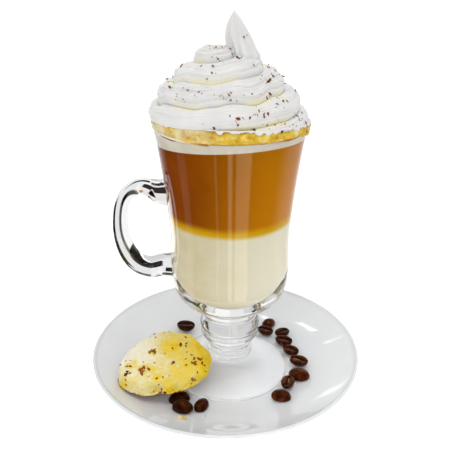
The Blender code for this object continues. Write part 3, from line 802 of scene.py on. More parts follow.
def make_glass(thin, thick, faint):
    """A bowl of thin clear glass, with a stem and a handle of thick glass and a foot that hardly shows."""
    body = mesh_from(turned(glass_profile(), GLASS_STEPS), "glass")
    handle = handle_mesh()
    for mesh in (body, handle):
        for look in (thin, thick, faint):
            mesh.materials.append(look)
    for face in body.polygons:
        height = face.center.z
        face.material_index = 2 if height < STEM_LOW else int(height < STEM_HIGH)
    for face in handle.polygons:
        face.material_index = 1
    glass = joined(body, handle, "EXACT")
    glass.transform(Matrix.Translation((GLASS_X, GLASS_Y, 0)))
    piece = make_piece("coffee_glass", glass, thin, ["glass"])
    piece.data.materials.append(thick)
    piece.data.materials.append(faint)


# Drink


def coffee_height(x, y):
    """Height of the coffee's uneven upper face under the foam, at a place in the glass."""
    reach = math.hypot(x, y) / inner_radius(COFFEE_TOP)
    angle = math.atan2(y, x)
    wave = WAVE_MIDDLE + WAVE_RIGHT * math.cos(angle) - WAVE_FRONT * math.sin(angle)
    wave += WAVE_TWICE * math.cos(2 * angle)
    return COFFEE_TOP + wave * reach * MM


def froth_height(x, y):
    """Height of the froth's upper face, which the cream rests on."""
    return FROTH_MIDDLE + FROTH_SIDE_TILT * x - FROTH_FRONT_TILT * y


def wall_line(low, high, count):
    """Where a layer meets the wall, a hair into it, as (radius, height) from its top down."""
    heights = [high + (low - high) * i / count for i in range(count + 1)]
    return [(inner_radius(h) + SOAK, h) for h in heights]


def shape_meeting(bm):
    """Gives the flat face at the coffee's level its uneven form, out to the wall of the glass."""
    for vert in bm.verts:
        x, y, z = vert.co
        if abs(z - COFFEE_TOP) > MERGE:
            continue
        height = coffee_height(x, y)
        reach = math.hypot(x, y)
        at_wall = reach > inner_radius(COFFEE_TOP) - SOAK
        stretch = (inner_radius(height) + SOAK) / reach if at_wall else 1.0
        vert.co = (x * stretch, y * stretch, height)


def place_in_glass(bm, name):
    bmesh.ops.translate(bm, vec=(GLASS_X, GLASS_Y, 0), verts=bm.verts)
    return mesh_from(bm, name)


def make_drink(milk_look, coffee_look, foam_look):
    floor = BOWL_FLOOR - SOAK
    milk = [(0.0, MILK_TOP)] + wall_line(BOWL_FLOOR + 0.5 * MM, MILK_TOP, 40) + [(0.0, floor)]
    bm = turned(milk, GLASS_STEPS)
    make_piece("milk_layer", place_in_glass(bm, "milk"), milk_look, ["milk"])
    middle = inner_radius(COFFEE_TOP) / 2
    meeting = (inner_radius(COFFEE_TOP) + SOAK, COFFEE_TOP)
    top = [(0.0, COFFEE_TOP), (middle, COFFEE_TOP), meeting]
    bm = turned(top + wall_line(MILK_TOP, COFFEE_WALL_TOP, 20) + [(0.0, MILK_TOP)], GLASS_STEPS)
    shape_meeting(bm)
    make_piece("coffee_layer", place_in_glass(bm, "coffee"), coffee_look, ["coffee"])
    bm = turned([(0.0, FOAM_TOP)] + wall_line(FOAM_WALL_LOW, FOAM_TOP, 5) + top[::-1], GLASS_STEPS)
    shape_meeting(bm)
    make_piece("foam_layer", place_in_glass(bm, "foam"), foam_look, ["foam"])


def spill_height(angle):
    """How low the froth hangs down the outside of the glass, most on the side away from the handle."""
    drips = 0.72 + 0.28 * noise.noise(Vector((7.0 * math.sin(angle), 7.0 * math.cos(angle), 2.0)))
    return FROTH_SKIRT - SPILL_DEPTH * max(0.0, math.cos(angle)) ** 12 * drips


def rim_top(reach):
    """Height of the glass rim's rounded top, a hair into the glass."""
    off = max(0.0, reach - (RIM_RADIUS - 1.5 * MM)) / MM
    return GLASS_TOP - (0.4 * off * off + 0.1) * MM


def draw_in(angle):
    """How far the froth draws back from the edge of the rim, which is bare on the handle's side."""
    return max(0.0, min(1.0, 1.6 * (-math.cos(angle) - 0.25)))


def froth_profile():
    """The collar in section: flat above, puffed outside, lying on the rounded rim and on the foam."""
    outside = smooth_line([
        (FROTH_RADIUS - 1.8 * MM, FROTH_MIDDLE),
        (FROTH_RADIUS - 0.3 * MM, FROTH_SKIRT + 0.8 * FROTH_DEPTH),
        (FROTH_RADIUS, FROTH_SKIRT + 0.4 * FROTH_DEPTH),
        (FROTH_RADIUS - 0.2 * MM, FROTH_SKIRT + 0.1 * FROTH_DEPTH),
        (FROTH_CLEAR, FROTH_SKIRT),
    ], 7)
    wall = RIM_RADIUS - RIM_WALL
    inside = [
        (FROTH_CLEAR, FROTH_BASE),
        (RIM_RADIUS - 1.5 * MM, GLASS_TOP - 0.1 * MM),
        (wall + 0.9 * MM, GLASS_TOP - 0.5 * MM),
        (wall + 0.45 * MM, GLASS_TOP - 1.1 * MM),
        (wall + 0.35 * MM, FOAM_TOP),
        (0.0, FOAM_TOP),
    ]
    top = [(0.0, FROTH_MIDDLE), (FROTH_RADIUS * 0.5, FROTH_MIDDLE), (FROTH_RADIUS * 0.85, FROTH_MIDDLE)]
    return top + outside + inside


def puffed(place, angle):
    """How many times further out a place on the froth's side lies, for its lumps and bubbles."""
    spot = Vector((place.x, place.y, place.z * 1.4))
    lump = noise.noise(spot / FROTH_LUMPS) * 0.6
    bubble = 0.45 - noise.voronoi(spot / FROTH_CELLS)[0][0]
    return 1 + (lump + 0.8 * bubble * (1 - draw_in(angle))) * MM / math.hypot(place.x, place.y)


def shape_froth(bm):
    """Tilts the collar's top, lets its edge spill and draw back, and puffs its side."""
    for vert in bm.verts:
        x, y, z = vert.co
        if z < FROTH_SKIRT - MERGE:
            continue
        reach = math.hypot(x, y)
        angle = math.atan2(y, x)
        drawn = draw_in(angle)
        pulled = INSIDE_RIM + (reach - INSIDE_RIM) * (1 - DRAW_SHARE * drawn)
        if FROTH_SKIRT + MERGE < z < FROTH_BASE + MERGE and reach < FROTH_CLEAR + MERGE:
            if reach > INSIDE_RIM:
                height = z if pulled > FROTH_CLEAR - MERGE else rim_top(pulled)
                vert.co = polar(angle, pulled, height)
            continue
        share = (z - FROTH_SKIRT) / FROTH_DEPTH
        lowest = spill_height(angle)
        vert.co.z = lowest + share * (froth_height(x, y) - lowest)
        if drawn > 0 and reach > INSIDE_RIM:
            height = max(vert.co.z, rim_top(pulled))
            vert.co = polar(angle, pulled, height)
        if 0.02 < share < 0.98:
            push = puffed(vert.co, angle)
            vert.co.x *= push
            vert.co.y *= push


def make_froth(surface):
    """A puffed bubbly collar on the rim."""
    bm = turned(froth_profile(), FROTH_STEPS)
    shape_froth(bm)
    collar = make_piece("froth_collar", place_in_glass(bm, "froth"), surface, ["froth"])
    make_bubbles(collar, surface)


def skin_of(piece):
    """The piece's faces in a form that a ray can be cast on."""
    bm = bmesh.new()
    bm.from_mesh(piece.data)
    tree = BVHTree.FromBMesh(bm)
    bm.free()
    return tree


def make_bubbles(collar, surface):
    """Bubbles of all sizes half sunk in the side of the froth, in clusters, thickest near the handle."""
    draw = random.Random(SEED + 2)
    tree = skin_of(collar)
    ball = bmesh.new()
    bmesh.ops.create_icosphere(ball, subdivisions=3, radius=1.0)
    ball_mesh = mesh_from(ball, "ball")
    bm = bmesh.new()
    blown = 0
    while blown < BUBBLES:
        angle = draw.uniform(-math.pi, math.pi)
        facing = polar(angle)
        crowd = 0.5 + noise.noise(facing * 5.0) + 0.5 * max(0.0, -facing.x)
        if draw.random() > crowd:
            continue
        height = FROTH_SKIRT + draw.uniform(*BUBBLE_HEIGHTS) * MM
        start = Vector((GLASS_X, GLASS_Y, height)) + facing * 2 * FROTH_RADIUS
        spot, normal, _, _ = tree.ray_cast(start, -facing)
        if spot is None:
            continue
        size = min(LARGE_BUBBLE, SMALL_BUBBLE * draw.paretovariate(1.9)) * MM
        centre = spot - normal * 0.35 * size
        bubble = ball_mesh.copy()
        bubble.transform(Matrix.Translation(centre) @ Matrix.Diagonal((size, size, 0.85 * size, 1.0)))
        bm.from_mesh(bubble)
        bpy.data.meshes.remove(bubble)
        blown += 1
    bpy.data.meshes.remove(ball_mesh)
    make_piece("froth_bubbles", mesh_from(bm, "bubbles"), surface)


def melt_drop(angle):
    """How far the cream's melted edge runs down over the froth: in tongues, longest at the front right."""
    round_place = polar(angle)
    tongues = noise.noise(round_place * 4.0) + 0.45 * noise.noise(round_place * 13.0 + Vector((0, 0, 4.0)))
    tongues += 0.25 * noise.noise(round_place * 37.0 + Vector((0, 0, 8.0)))
    front_right = max(0.0, math.cos(angle + math.radians(52))) ** 6
    return (3.2 * tongues + 0.3 + 1.2 * front_right) * MM


def make_melt(surface):
    """The edge of the cream that has melted onto the froth, as a thin band with a rounded lower edge."""
    bm = bmesh.new()
    bmesh.ops.create_grid(bm, x_segments=MELT_STEPS, y_segments=MELT_ROWS, size=0.5)
    for vert in bm.verts:
        angle = math.tau * round((vert.co.x + 0.5) * MELT_STEPS) / MELT_STEPS
        turn = math.tau * round((vert.co.y + 0.5) * MELT_ROWS) / MELT_ROWS
        along = 0.5 - 0.5 * math.cos(turn)
        reach = FROTH_RADIUS - DRAW_SHARE * draw_in(angle) * (FROTH_RADIUS - INSIDE_RIM)
        run = along * max(MELT_SHORTEST, MELT_SHOULDER + melt_drop(angle))
        over = min(1.0, run / (MELT_SHOULDER + 1.0 * MM))
        radius = reach - MELT_SHOULDER + MELT_SHOULDER * math.sin(over * math.pi / 2) ** 1.2
        top = froth_height(radius * math.cos(angle), radius * math.sin(angle))
        height = top - max(0.0, run - MELT_SHOULDER) + 0.15 * MM
        lump = noise.noise(Vector((radius * 900, angle * 9, height * 700)))
        puff = MELT_THICK * math.sin(turn) * (0.8 + 0.5 * lump)
        radius += puff * over + 0.1 * MM
        height += puff * (1 - over)
        vert.co = polar(angle, radius, height)
    bmesh.ops.remove_doubles(bm, verts=bm.verts, dist=MERGE)
    bmesh.ops.recalc_face_normals(bm, faces=bm.faces)
    make_piece("melted_cream", place_in_glass(bm, "melt"), surface, (), 70)


# Piped cream


def groove(turns):
    """(radius, height) of the groove under the rope after this many turns of it."""
    gone = turns - 0.5
    radius = ROPE_RADIUS - (ROPE_INWARD * gone + ROPE_CLOSING * gone**2 if gone > 0 else gone)
    height = ROPE_LOW + ROPE_RISE * gone - ROPE_SETTLING * gone * abs(gone)
    tilt = 1.0 - math.cos(math.tau * gone)
    around = polar(math.tau * turns)
    sway = noise.noise(2.2 * around + Vector((0, 0, 0.8 * turns)))
    quick = noise.noise(5.0 * around + Vector((0, 0, 1.3 * turns + 9.0)))
    calm = min(1.0, max(0.0, gone), max(0.0, 3.0 - gone))
    wavy = height + tilt + (ROPE_SWAY * sway + ROPE_QUIVER * quick) * calm
    return Vector((max(radius, ROPE_NARROWEST), min(wavy, ROPE_TOP))) * MM


def flutes(turns, share):
    """The nozzle's ridges along the rope, fine ones and a few soft folds, which come and go."""
    along = polar(math.tau * turns, 1.0, 0.7 * turns) * 1.6
    fade = 0.55 + 0.45 * noise.noise(along + Vector((0, 0, 3.1 * share)))
    sway = 0.05 * noise.noise(along * 0.8 + Vector((7.3, 0, 0)))
    fine = math.cos(math.tau * FLUTES * (share + sway))
    fold = math.cos(math.tau * FOLDS * (share + 3 * sway) + 0.8 + 2.0 * noise.noise(along * 0.5))
    edge = min(1.0, 5 * share, 5 * (1 - share))
    smooth = 1.0 - 0.75 * hump(turns - SMOOTH_TURN, 0.22)
    return (FLUTE_DEPTH * fine + FOLD_DEPTH * fold) * fade * edge * smooth


def lobe_point(turns, share):
    """A point of the rope's outer face: which turn, and how far up between its two grooves."""
    low = groove(turns)
    high = groove(turns + 1)
    chord = high - low
    outward = Vector((chord.y, -chord.x)).normalized()
    curl = hump(turns - CURL_TURN, 0.3)
    depth = LOBE_DEPTH + (CURL_DEPTH - LOBE_DEPTH) * curl
    bulge = depth * (1 - abs(2 * share - 1) ** 2.3) ** 0.7
    return low + chord * share + outward * (bulge + flutes(turns, share))


def swirl_mesh():
    """The rope's turns as one helical strip, closed above, and cut flat where it sinks into the froth."""
    bm = bmesh.new()
    count = round((LAST_TURN - FIRST_TURN) * TURN_STEPS)
    bmesh.ops.create_grid(bm, x_segments=count, y_segments=LOBE_ROWS, size=0.5)
    hollow = bm.verts.layers.float.new("hollow")
    for vert in bm.verts:
        turns = FIRST_TURN + round((vert.co.x + 0.5) * count) / TURN_STEPS
        share = round((vert.co.y + 0.5) * LOBE_ROWS) / LOBE_ROWS
        radius, height = lobe_point(turns, share)
        angle = math.tau * turns
        spot = polar(angle, radius, height)
        lump = 0.6 * noise.noise(spot / CREAM_LUMPS) + 0.45 * noise.noise(spot / CREAM_DIMPLES)
        radius += lump * MM * min(1.0, 4 * share, 4 * (1 - share))
        shift = CREAM_SHIFT + CREAM_DRIFT * max(0.0, turns + share - 0.5)
        vert.co = polar(angle, radius, height) + Vector((shift, 0.0, 0.0))
        vert[hollow] = max(0.0, 1 - 5 * min(share, 1 - share))
    bmesh.ops.remove_doubles(bm, verts=bm.verts, dist=1e-5)
    cut = Vector((0.0, 0.0, FROTH_MIDDLE - CREAM_SUNK))
    slope = Vector((-FROTH_SIDE_TILT, FROTH_FRONT_TILT, 1.0)).normalized()
    everything = bm.verts[:] + bm.edges[:] + bm.faces[:]
    bmesh.ops.bisect_plane(bm, geom=everything, plane_co=cut, plane_no=slope, clear_inner=True, dist=1e-7)
    bmesh.ops.holes_fill(bm, edges=[edge for edge in bm.edges if edge.is_boundary], sides=0)
    bmesh.ops.recalc_face_normals(bm, faces=bm.faces)
    return mesh_from(bm, "swirl")


def peak_mesh():
    """The pulled tip of the rope: a ridged column that narrows and leans to its point."""
    stations = smooth_line(PEAK_STATIONS, 6)
    rings = len(stations)
    bm = bmesh.new()
    bmesh.ops.create_cone(bm, cap_ends=True, segments=PEAK_SIDES, radius1=0.5, radius2=0.5, depth=1.0)
    upright = [edge for edge in bm.edges if abs(edge.verts[0].co.z - edge.verts[1].co.z) > 0.5]
    bmesh.ops.subdivide_edges(bm, edges=upright, cuts=rings - 2, use_grid_fill=True)
    for vert in bm.verts:
        middle, height, width, depth = stations[round((vert.co.z + 0.5) * (rings - 1))]
        angle = math.atan2(vert.co.y, vert.co.x)
        wobble = noise.noise(Vector((math.cos(angle), math.sin(angle), height * 0.05)) * 1.7)
        dip = 0.5 - 0.5 * math.cos(PEAK_RIDGES * angle + 2.5 * wobble)
        ridge = 1.0 - PEAK_GROOVE * dip + 0.06 * wobble
        vert.co.x = (middle + 0.5 * width * ridge * math.cos(angle)) * MM
        vert.co.y = (0.5 * depth * ridge * math.sin(angle) - 1.0) * MM
        vert.co.z = height * MM
    bmesh.ops.recalc_face_normals(bm, faces=bm.faces)
    return mesh_from(bm, "peak")


def make_cream(surface):
    mesh = joined(swirl_mesh(), peak_mesh(), "MANIFOLD")
    mesh.transform(Matrix.Translation((GLASS_X, GLASS_Y, 0)))
    return make_piece("piped_cream", mesh, surface, ["cream"], 70)


# Chocolate flakes on the cream: where each shows in the photo, in pixels, and its length
FLAKES_SEEN = [
    (210, 46, 1.3), (216, 47, 1.2), (222, 47, 1.3), (230, 49, 1.3), (244, 37, 1.2), (238, 58, 2.8),
    (218, 59, 1.2), (201, 66, 1.3), (254, 65, 2.4), (232, 54, 1.0), (213, 66, 1.6), (268, 82, 3.6),
    (270, 80, 2.8), (273, 76, 1.6), (262, 76, 1.2), (229, 95, 2.0), (231, 93, 1.2), (231, 100, 1.4),
    (270, 94, 2.4), (267, 98, 2.0), (277, 104, 2.0), (283, 101, 1.6), (287, 101, 1.8), (259, 111, 1.8),
    (264, 116, 2.4), (268, 114, 1.8), (238, 119, 2.6), (250, 118, 1.8), (238, 125, 1.4), (230, 116, 1.2),
    (297, 116, 2.2), (302, 113, 1.6), (306, 123, 2.2), (304, 127, 1.8), (299, 119, 1.2), (293, 125, 1.0),
    (214, 128, 1.8), (254, 130, 2.4), (267, 125, 1.2), (275, 125, 1.2), (285, 124, 1.2), (276, 132, 1.8),
    (282, 132, 2.2), (170, 87, 2.2), (188, 90, 1.6), (199, 92, 1.4), (212, 73, 1.6), (207, 79, 1.2),
    (183, 99, 1.0), (252, 94, 1.2), (220, 96, 1.0),
]
# Flakes on the back: how many, round which angle in degrees, how widely, and between which heights
FLAKES_ELSEWHERE = 60
BACK_ANGLE = 60
BACK_SPREAD = 100
BACK_HEIGHTS = (168 * MM, 198 * MM)
FAR_OFF = 90 * MM


def pixel_ray(across, down):
    """The direction from the camera through a pixel of the photo."""
    return CAMERA_TURN @ Vector((across - FRAME_SIDE / 2, FRAME_SIDE / 2 - down, -PIXEL_REACH)).normalized()


def pixel_of(place):
    """Where a place shows in the photo, in pixels across and down."""
    seen = CAMERA_TURN.inverted() @ (place - CAMERA_PLACE)
    return FRAME_SIDE / 2 - seen.x / seen.z * PIXEL_REACH, FRAME_SIDE / 2 + seen.y / seen.z * PIXEL_REACH


def flake_mesh(spot, normal, length, draw):
    """One bent sliver of chocolate, lying on the cream."""
    bm = bmesh.new()
    bmesh.ops.create_cube(bm, size=1.0)
    long_edges = [edge for edge in bm.edges if abs(edge.verts[0].co.x - edge.verts[1].co.x) > 0.5]
    bmesh.ops.subdivide_edges(bm, edges=long_edges, cuts=3, use_grid_fill=True)
    width = draw.uniform(0.3, 0.75) * length
    thick = draw.uniform(0.2, 0.4) * min(MM, length)
    bend = draw.uniform(-0.25, 0.25)
    for vert in bm.verts:
        x, y, z = vert.co
        taper = 1 - 1.1 * abs(x) ** 1.5
        jitter = 1 + 0.6 * noise.noise(Vector((x * 3, y * 3, length * 9999)))
        vert.co = (x * length, y * width * taper * jitter, z * thick + bend * length * (0.25 - x * x))
    upright = normal.to_track_quat("Z", "Y").to_matrix().to_4x4()
    lean = Matrix.Rotation(draw.uniform(-0.5, 0.5), 4, "X") @ Matrix.Rotation(draw.uniform(-0.3, 0.3), 4, "Y")
    spin = Matrix.Rotation(draw.uniform(0, math.tau), 4, "Z")
    place = Matrix.Translation(spot + normal * 0.1 * MM) @ upright @ spin
    bmesh.ops.transform(bm, matrix=place @ lean, verts=bm.verts)
    return mesh_from(bm, "flake")


def lay_flakes(name, spots, draw, surface):
    """One piece of slivers, each lying at its spot of a surface with its own length."""
    bm = bmesh.new()
    for spot, normal, length in spots:
        flake = flake_mesh(spot, normal, length, draw)
        bm.from_mesh(flake)
        bpy.data.meshes.remove(flake)
    bmesh.ops.recalc_face_normals(bm, faces=bm.faces)
    make_piece(name, mesh_from(bm, name), surface, (), 50)


def make_flakes(cream, surface):
    """Flakes where the photo shows them, each with up to four specks round it, and others on the back."""
    draw = random.Random(SEED)
    tree = skin_of(cream)
    spots = []
    seen = list(FLAKES_SEEN)
    for across, down, length in FLAKES_SEEN:
        for _ in range(draw.randint(0, 4)):
            seen.append((across + draw.gauss(0, 5), down + draw.gauss(0, 3), draw.uniform(0.4, 0.9)))
    for across, down, length in seen:
        spot, normal, _, _ = tree.ray_cast(CAMERA_PLACE, pixel_ray(across, down))
        if spot is not None:
            spots.append((spot, normal, 0.85 * length * MM))
    placed = len(spots)
    while len(spots) < placed + FLAKES_ELSEWHERE:
        angle = draw.gauss(BACK_ANGLE, BACK_SPREAD)
        height = draw.uniform(*BACK_HEIGHTS)
        facing = polar(math.radians(angle))
        if facing.y < -0.35:
            continue
        start = Vector((GLASS_X, GLASS_Y, height + 30 * MM)) + facing * FAR_OFF
        aim = Vector((GLASS_X + CREAM_SHIFT, GLASS_Y, height - 12 * MM)) - start
        spot, normal, _, _ = tree.ray_cast(start, aim.normalized())
        if spot is not None:
            spots.append((spot, normal, draw.uniform(1.0, 2.6) * MM))
    lay_flakes("chocolate_flakes", spots, draw, surface)


# Biscuit


def cookie_outline(angle):
    """Stretch of the biscuit's edge in this direction, which makes its plan a lopsided oval."""
    return 1.0 - 0.05 * math.cos(2 * angle) - 0.09 * math.sin(angle) - 0.04 * math.cos(3 * angle)


def cookie_point(direction):
    """A point of the crust in a direction of the unit ball: domed above, shallow below, with its lumps."""
    x, y, z = direction
    flat = max(math.hypot(x, y), 1e-9)
    spread = cookie_outline(math.atan2(y, x)) * flat**-0.18
    rough = noise.fractal(Vector((x * 2.6, y * 2.1, z * 1.6 + 3.1)), 0.9, 2.1, 3)
    grow = 1.0 + 0.05 * rough
    rise = COOKIE_RISE if z > 0 else COOKIE_BASE
    point = Vector((
        x * spread * grow * COOKIE_LENGTH / 2,
        y * spread * grow * COOKIE_WIDTH / 2,
        z * rise + 0.9 * rough * MM * (1.0 if z > 0 else 0.3),
    ))
    push = CRUST_GRAIN[1] * noise.fractal(point / CRUST_GRAIN[0], 0.9, 2.2, 4)
    push += CRUST_LUMPS[1] * noise.noise(point / CRUST_LUMPS[0] + Vector((2.0, 5.0, 0.0)))
    push -= CRUST_CRUMBS[1] * max(0.0, noise.noise(point / CRUST_CRUMBS[0])) * hump(z + 0.05, 0.22)
    return point + direction * push * MM


def cookie_place():
    turn = Euler((COOKIE_TIP, -COOKIE_LEAN, COOKIE_TURN)).to_matrix().to_4x4()
    return Matrix.Translation(COOKIE_PLACE) @ turn


def share_between(value, ends):
    """How far the value has come from the first end to the second, from 0 to 1."""
    return min(1.0, max(0.0, (value - ends[0]) / (ends[1] - ends[0])))


def golden_share(across, down, mm_a_pixel):
    """How golden the crust is baked at a place that shows at this pixel."""
    share = share_between(across, GOLD_ACROSS)
    gold = 0.58 * share * share * (3 - 2 * share)
    gold += 0.34 * share_between(down, GOLD_DOWN) * max(0.0, 1 - 1.6 * gold)
    for where, level, size in GOLDEN_PATCHES:
        off = math.hypot(across - where, down - level) * mm_a_pixel
        gold += 0.6 * hump(off, size) * (1 - gold)
    return gold


def make_cookie(crust, chip):
    bm = bmesh.new()
    bmesh.ops.create_icosphere(bm, subdivisions=7, radius=1.0)
    bake = bm.verts.layers.float.new("bake")
    under = bm.verts.layers.float.new("under")
    for vert in bm.verts:
        vert[under] = min(1.0, max(0.0, (-0.10 - vert.co.z) / 0.15))
        vert.co = cookie_point(vert.co.normalized())
    bmesh.ops.transform(bm, matrix=cookie_place(), verts=bm.verts)
    middle = Vector(COOKIE_PLACE)
    mm_a_pixel = (middle - CAMERA_PLACE).length / PIXEL_REACH / MM
    for vert in bm.verts:
        across, down = pixel_of(vert.co)
        bite = hump(math.hypot(across - BITE_PLACE[0], down - BITE_PLACE[1]), BITE_REACH)
        vert.co += (middle - vert.co).normalized() * bite * BITE_DEPTH
        vert[bake] = golden_share(across, down, mm_a_pixel)
    cookie = make_piece("biscuit", mesh_from(bm, "biscuit"), crust, ["cookie"], 60)
    make_chips(cookie, chip)


def make_chips(cookie, surface):
    """Chips and specks of chocolate in the crust: those that the photo shows, and others on its back."""
    draw = random.Random(SEED + 1)
    tree = skin_of(cookie)
    spots = []
    for across, down, length in CHIPS_SEEN:
        for number in range(3 if length > 1.5 else 1):
            off = 0.0 if number == 0 else 0.45 * length
            size = length if number == 0 else 0.55 * length
            ray = pixel_ray(across + draw.gauss(0, off), down + draw.gauss(0, off))
            spot, normal, _, _ = tree.ray_cast(CAMERA_PLACE, ray)
            if spot is not None:
                spots.append((spot, normal, 1.55 * size * MM))
    middle = Vector(COOKIE_PLACE)
    for _ in range(CHIPS_BEHIND):
        facing = Vector((draw.uniform(-1, 1), draw.uniform(0.15, 1), draw.uniform(0.1, 0.8))).normalized()
        spot, normal, _, _ = tree.ray_cast(middle + facing * FAR_OFF, -facing)
        if spot is not None and normal.dot(CAMERA_PLACE - spot) < 0:
            spots.append((spot, normal, draw.uniform(0.6, 2.2) * MM))
    lay_flakes("biscuit_chips", spots, draw, surface)


# Coffee beans


def bean_bmesh(number, golden):
    """A bean with a round back, a flat face and a crease along it. Its length is along X, its back up."""
    bm = bmesh.new()
    crease = bm.verts.layers.float.new("crease")
    bmesh.ops.create_uvsphere(bm, u_segments=64, v_segments=40, radius=1.0)
    bmesh.ops.rotate(bm, verts=bm.verts, cent=(0, 0, 0), matrix=Matrix.Rotation(math.pi / 2, 3, "Y"))
    for vert in bm.verts:
        x, y, z = vert.co
        wander = 0.11 * math.sin(2.6 * x + number)
        cut = hump(y - wander, CREASE_BREADTH) * (1 - x**8)
        if z > 0:
            height = z * BEAN_BACK
            cut = 0.0
        else:
            dip = 1 - 0.25 * hump(y, 0.35)
            face = -0.75 * (1 - (1 - min(1.0, -z / 0.75)) ** 2.2) * dip
            height = face * BEAN_FACE + 1.2 * cut * CREASE_DEPTH * min(1.0, -2.5 * z)
        patchy = 1 - 0.25 * max(0.0, math.sin(5 * x + 2 * number))
        vert[crease] = cut * golden * patchy if z < -0.1 else 0.0
        vert.co = (x * BEAN_LENGTH / 2, y * BEAN_WIDTH / 2, height)
    return bm


def make_beans(surface):
    for number, (x, y, turn, size, golden) in enumerate(BEANS, 1):
        bm = bean_bmesh(number, golden)
        lift = size * (BEAN_BACK if golden else 0.75 * BEAN_FACE)
        reach = math.hypot(x, y) * MM + 0.35 * BEAN_LENGTH
        place = Matrix.Translation((x * MM, y * MM, saucer_top(reach) + TOUCH + lift))
        spin = Euler((math.pi if golden else 0.0, 0.0, math.radians(turn))).to_matrix().to_4x4()
        for vert in bm.verts:
            vert.co *= 1 + 0.035 * noise.noise(vert.co / BEAN_BUMPS + Vector((number * 3.7, 0, 0)))
        bmesh.ops.transform(bm, matrix=place @ spin @ Matrix.Scale(size, 4), verts=bm.verts)
        name = f"roast_bean_{number:02d}"
        make_piece(name, mesh_from(bm, name), surface, [f"bean_{number:02d}"], 60)


# Crumbs on the saucer: place and length in millimetres
CRUMBS = [
    (-23.6, -56.2, 4.2),
    (-21.8, -57.4, 2.6),
    (-26.8, -55.6, 1.4),
    (-10.6, -51.6, 1.0),
    (-19.8, -55.0, 0.9),
]
CRUMB_BREADTH = 0.6
CRUMB_THICKNESS = 0.45


def make_crumbs(surface):
    bm = bmesh.new()
    for x, y, length in CRUMBS:
        made = bmesh.ops.create_icosphere(bm, subdivisions=3, radius=0.5)["verts"]
        for vert in made:
            lump = 1 + 0.5 * noise.noise(vert.co * 2.4 + Vector((x, y, 0)))
            vert.co = vert.co * lump * length * MM
            vert.co.y *= CRUMB_BREADTH
            vert.co.z *= CRUMB_THICKNESS
        lift = saucer_top(math.hypot(x, y) * MM) + 0.15 * length * MM
        bmesh.ops.translate(bm, vec=(x * MM, y * MM, lift), verts=made)
    make_piece("biscuit_crumbs", mesh_from(bm, "crumbs"), surface, (), 60)


# Stage


def make_floor():
    bm = bmesh.new()
    bmesh.ops.create_grid(bm, x_segments=1, y_segments=1, size=FLOOR_HALF)
    mesh = mesh_from(bm, "floor")
    made, tree, shader = new_material("pale floor")
    cloud = add_noise(tree, object_place(tree), 3.0, 2.0)
    tint = add_ramp(tree, cloud, [(0.3, (0.90, 0.90, 0.90)), (0.7, (0.92, 0.92, 0.92))])
    paint(tree, shader, tint)
    set_plain(shader, Roughness=0.9, Specular_IOR_Level=0.1)
    set_plain(shader, Emission_Color=(1.0, 1.0, 1.0, 1.0), Emission_Strength=FLOOR_GLOW)
    mesh.materials.append(made)
    floor = new_object("floor", mesh)
    floor.location = (0.0, 0.0, -TOUCH)


def make_camera():
    data = bpy.data.cameras.new("camera")
    data.lens = LENS
    data.sensor_width = SENSOR
    data.clip_start = NEAREST_SEEN
    camera = new_object("camera", data)
    camera.rotation_mode = "QUATERNION"
    camera.location = CAMERA_PLACE
    camera.rotation_quaternion = CAMERA_TURN
    bpy.context.scene.camera = camera


def make_lamp(name, place, width, height, power, mirrored):
    """A soft rectangular lamp aimed at the glass, never in sight itself."""
    data = bpy.data.lights.new(name, "AREA")
    data.shape = "RECTANGLE"
    data.size = width
    data.size_y = height
    data.energy = power
    lamp = new_object(name, data)
    lamp.location = place
    lamp.rotation_mode = "QUATERNION"
    lamp.rotation_quaternion = (Vector((0, 0, LAMP_AIM)) - Vector(place)).to_track_quat("-Z", "Y")
    lamp.visible_camera = False
    lamp.visible_glossy = mirrored


def make_room():
    """White backdrop in a room that is a little brighter behind the glass than above it."""
    world = bpy.data.worlds.new("room")
    world.use_nodes = True
    tree = world.node_tree
    background = tree.nodes["Background"]
    direction = add_node(tree, "ShaderNodeTexCoord").outputs["Generated"]
    axes = add_node(tree, "ShaderNodeSeparateXYZ", {"Vector": direction})
    depth = add_range(tree, axes.outputs["Y"], -0.2, 0.6)
    sides = add_mix(tree, depth, (ROOM_FRONT,) * 3, (ROOM_BEHIND,) * 3)
    overhead = add_range(tree, axes.outputs["Z"], 0.45, 0.75)
    room = add_mix(tree, overhead, sides, (ROOM_ABOVE,) * 3)
    seen = add_node(tree, "ShaderNodeLightPath").outputs["Is Camera Ray"]
    tree.links.new(add_mix(tree, seen, room, (1.0, 1.0, 1.0)), background.inputs["Color"])
    bpy.context.scene.world = world


def card_object(name, mesh, mirrored, seen_through):
    """Cards that the camera, soft light and shadows pass by, and that show mirrored or through the glass."""
    cards = new_object(name, mesh)
    cards.visible_camera = False
    cards.visible_diffuse = False
    cards.visible_shadow = False
    cards.visible_glossy = mirrored
    cards.visible_transmission = seen_through
    return cards


def set_glowing(shader, strength):
    """Makes the shader black but for its own glow."""
    set_plain(shader, Base_Color=(0.0, 0.0, 0.0, 1.0), Specular_IOR_Level=0.0, Emission_Strength=strength)


def grey(glow):
    """The colour of the ring that gives this glow."""
    return (glow / SURROUND_GLOW,) * 3


def ring_mesh(name):
    """An upright band round the glass."""
    bm = bmesh.new()
    circle = bmesh.ops.create_circle(bm, segments=SURROUND_STEPS, radius=SURROUND_RADIUS)["verts"]
    edges = list({edge for vert in circle for edge in vert.link_edges})
    raised = bmesh.ops.extrude_edge_only(bm, edges=edges)["geom"]
    top = [item for item in raised if isinstance(item, bmesh.types.BMVert)]
    bmesh.ops.translate(bm, vec=(0, 0, SURROUND_HEIGHT), verts=top)
    return place_in_glass(bm, name)


